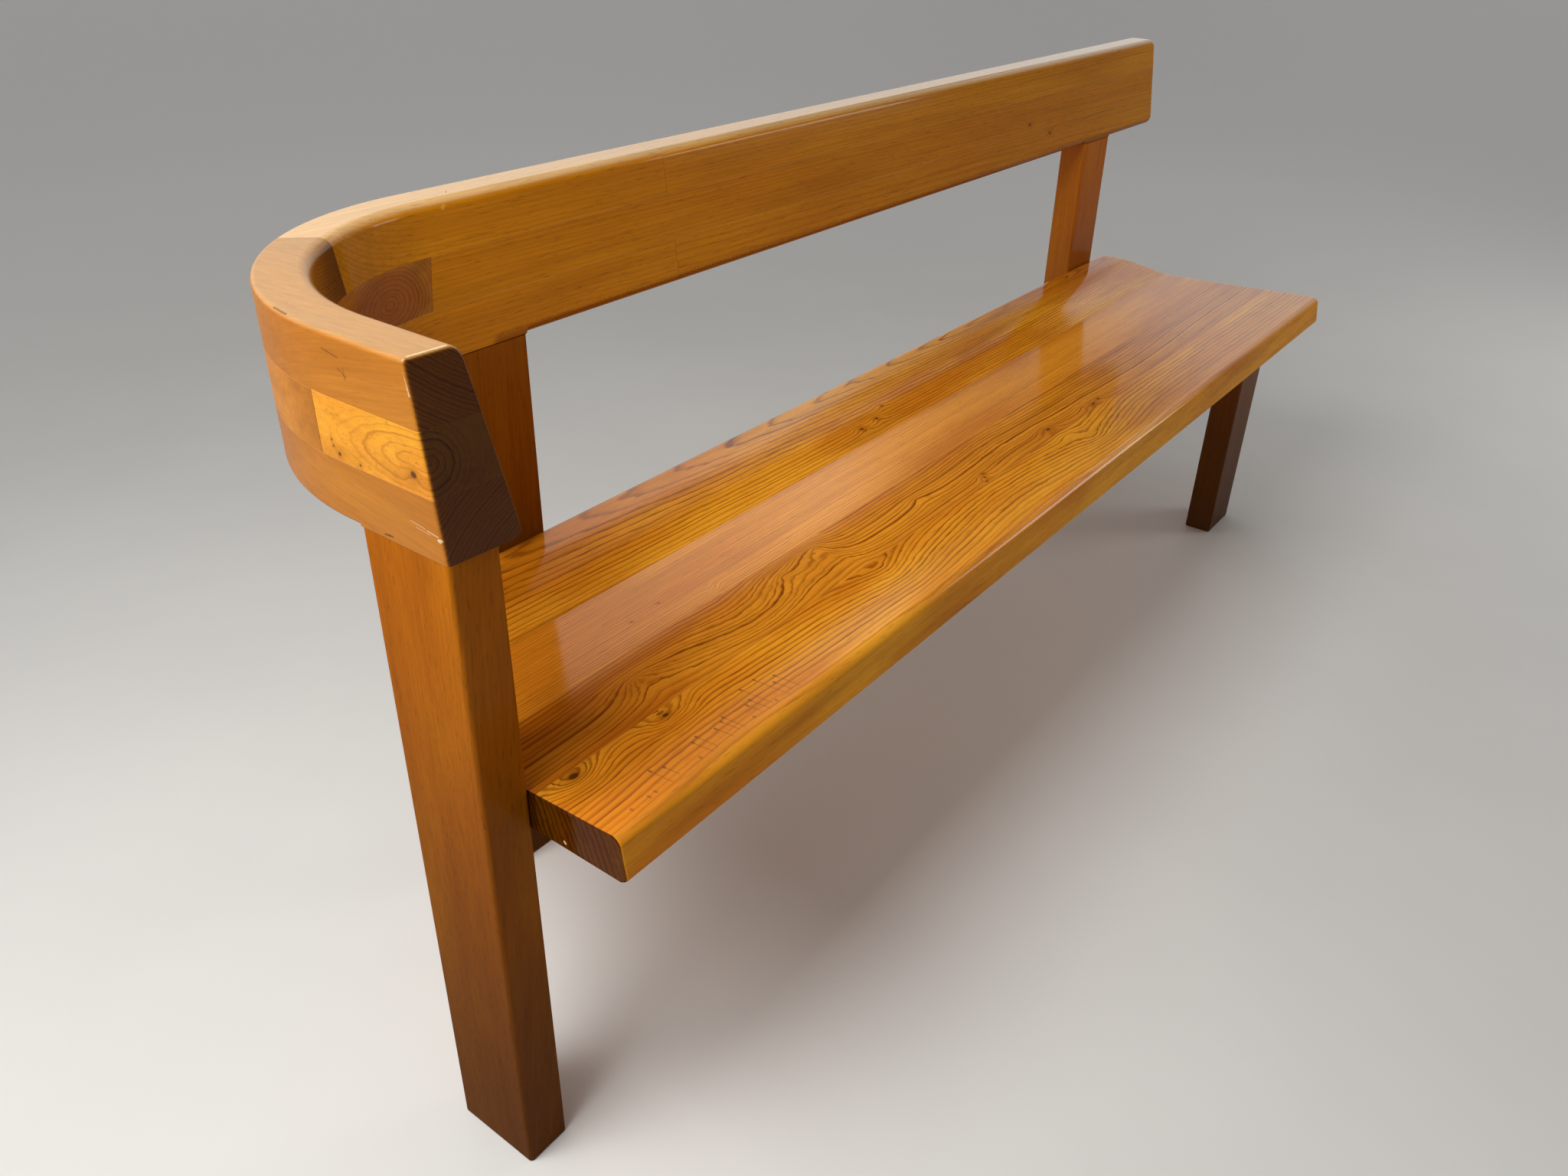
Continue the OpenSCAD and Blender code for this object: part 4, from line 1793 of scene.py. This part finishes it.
    def build(self) -> list[bpy.types.Object]:
        """Builds the nine pieces.

        Returns:
            The finished pieces.
        """
        s = self.sizes
        diagonal = (RIGHT + BACK).normalized()
        slant = s.curve_centre + diagonal * self.slant_shift
        arm_joint = s.curve_centre + BACK * self.arm_joint_shift
        rail_joint = s.curve_centre - RIGHT * self.rail_joint_shift + UP * s.rail_height / 2
        lean = math.radians(self.rail_joint_lean)
        towards_rail = Vector((math.cos(lean), 0.0, -math.sin(lean)))
        top_butt, bottom_butt = (
            RIGHT * (s.arm_face_x + reach) for reach in (self.top_butt_reach, self.bottom_butt_reach)
        )
        bottom, middle, top = Layer
        curved, arm = Run.CORNER | Run.RAIL, Run.ARM | Run.CORNER
        pieces = {
            "rail_top_long": (top, Run.RAIL, (top_butt, -RIGHT)),
            "rail_top_curved": (top, curved, (slant, -diagonal), (top_butt, RIGHT)),
            "rail_middle": (middle, curved, (rail_joint, -towards_rail)),
            "rail_bottom_long": (bottom, Run.RAIL, (bottom_butt, -RIGHT)),
            "rail_bottom_curved": (bottom, curved, (slant, -diagonal), (bottom_butt, RIGHT)),
            "corner_middle": (middle, Run.CORNER, (arm_joint, -BACK), (rail_joint, towards_rail)),
            "arm_top": (top, arm, (slant, diagonal)),
            "arm_middle": (middle, arm, (arm_joint, BACK)),
            "arm_bottom": (bottom, arm, (slant, diagonal)),
        }
        return [self.finished(node, *plan) for node, plan in pieces.items()]


# Floor, light and camera


@dataclass
class Studio:
    """Pale floor, soft light and the camera of the photograph."""

    camera_at: Point = (-1.4351, -0.7552, 1.0932)
    camera_yaw: float = -53.4425
    camera_pitch: float = 30.9005
    camera_roll: float = 1.3389
    focal_pixels: float = 1590.24
    frame_pixels: float = 2048.0
    film_width: float = 36.0
    farthest: float = 200.0
    floor_half: float = 30.0
    floor_colours: tuple[Colour, Colour] = ((0.735, 0.735, 0.722), (0.760, 0.760, 0.745))
    far_floor: Colour = (0.93, 0.93, 0.925)
    wall_side: Point = (0.45, 0.88, 0.10)
    doorway: Point = (0.825, 0.395, 0.40)
    dim_light: float = 0.06
    high_wall_light: float = 0.14
    low_wall_light: float = 0.88
    ceiling_light: float = 0.14
    doorway_shade: float = 0.95

    def camera(self) -> None:
        """Sets the camera where the photograph was taken from."""
        yaw, pitch, roll = (
            math.radians(angle) for angle in (self.camera_yaw, self.camera_pitch, self.camera_roll)
        )
        level = RIGHT * math.cos(yaw) + BACK * math.sin(yaw)
        forward = UP.cross(level) * math.cos(pitch) - UP * math.sin(pitch)
        upward = level.cross(forward)
        right = level * math.cos(roll) + upward * math.sin(roll)
        up = upward * math.cos(roll) - level * math.sin(roll)
        data = bpy.data.cameras.new("camera")
        data.sensor_width = self.film_width
        data.lens = self.film_width * self.focal_pixels / self.frame_pixels
        data.clip_end = self.farthest
        turn = Matrix((right, up, -forward)).transposed().to_4x4()
        camera = placed("camera", data)
        camera.matrix_world = Matrix.Translation(self.camera_at) @ turn
        bpy.context.scene.camera = camera

    def floor(self) -> None:
        """Lays the pale floor."""
        half = self.floor_half
        mesh = bpy.data.meshes.new("floor")
        corners = rectangle(Vector((-half, -half)), Vector((half, half)), 0.0)
        mesh.from_pydata(corners, [], [(0, 1, 2, 3)])
        made = bpy.data.materials.new("floor_paint")
        tree = Tree(made)
        coords = tree.place("Object")
        cloud = tree.noise(coords, 2.5, 4.0)
        colour = tree.blend(cloud.step(0.3, 0.7), *self.floor_colours)
        colour = tree.blend(tree.length(coords).step(1.5, 4.0), colour, self.far_floor)
        shader = tree.node("ShaderNodeBsdfPrincipled", None, {"Base Color": colour, "Roughness": 0.6})
        tree.end("ShaderNodeOutputMaterial", shader)
        mesh.materials.append(made)
        placed("floor", mesh)

    def sky(self) -> None:
        """Surrounds the bench with soft light that is dim only on the camera's side."""
        world = bpy.data.worlds.new("studio")
        bpy.context.scene.world = world
        tree = Tree(world)
        coords = tree.place("Generated")
        wall = tree.dot(coords, tuple(Vector(self.wall_side).normalized())).step(-0.15, 0.55)
        opening = tree.dot(coords, tuple(Vector(self.doorway).normalized())).step(0.985, 0.998)
        height = tree.dot(coords, tuple(UP))
        low = 1.0 - height.step(0.46, 0.60)
        wall_light = self.high_wall_light + low * (self.low_wall_light - self.high_wall_light)
        wall_light = wall * wall_light * (1.0 - opening * self.doorway_shade)
        ceiling = (1.0 - wall) * height.step(0.1, 0.8) * self.ceiling_light
        light = self.dim_light + wall_light + ceiling
        glow = {"Color": (1.0, 0.985, 0.96, 1.0), "Strength": light}
        tree.end("ShaderNodeOutputWorld", tree.node("ShaderNodeBackground", None, glow))

    @staticmethod
    def lamp(name: str, at: Vector, target: Vector, size: tuple[float, float], power: float) -> None:
        """Hangs one soft lamp.

        Args:
            name: Name of the lamp.
            at: Its place.
            target: The point that it faces.
            size: Its width and height.
            power: Its power in watts.
        """
        data = bpy.data.lights.new(name, "AREA")
        data.shape = "RECTANGLE"
        data.size, data.size_y = size
        data.energy = power
        data.color = (1.0, 0.98, 0.95)
        lamp = placed(name, data)
        lamp.location = at
        lamp.rotation_euler = (target - at).to_track_quat("-Z", "Y").to_euler()

    def build(self) -> None:
        """Sets up the whole studio."""
        self.floor()
        self.sky()
        # Each lamp's place, the point that it faces, its width and height, and its power in watts
        lamps = {
            "window": ((-1.74, 0.085, 1.86), (-0.7, 0.0, 0.5), (1.05, 1.05), 38.5),
            "ceiling": ((0.3, -0.1, 2.6), (0.2, 0.0, 0.4), (2.4, 0.8), 1.2),
            "side": ((2.3, -1.7, 1.15), (0.9, 0.1, 0.6), (1.0, 0.8), 11.0),
        }
        for name, (at, target, size, power) in lamps.items():
            self.lamp(name, Vector(at), Vector(target), size, power)
        self.camera()
        bpy.context.scene.view_settings.view_transform = "Standard"


def main() -> None:
    """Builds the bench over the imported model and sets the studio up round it."""
    logging.basicConfig(level=logging.INFO, format="%(message)s")
    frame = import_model()
    sizes = BenchSizes()
    joinery = Joinery(sizes)
    groups: dict[str, list[bpy.types.Object]] = {
        "seat": Seat(sizes, joinery).build(),
        "posts": Uprights(joinery).build(),
        "back rail and arm": Backrest(sizes, joinery).build(),
        "dowels": joinery.dress(frame["nodes"]),
    }
    Studio().build()
    for group, pieces in groups.items():
        for piece in pieces:
            LOG.info("%s: %s, %d faces", group, piece.name, len(piece.data.polygons))


if __name__ == "__main__":
    main()
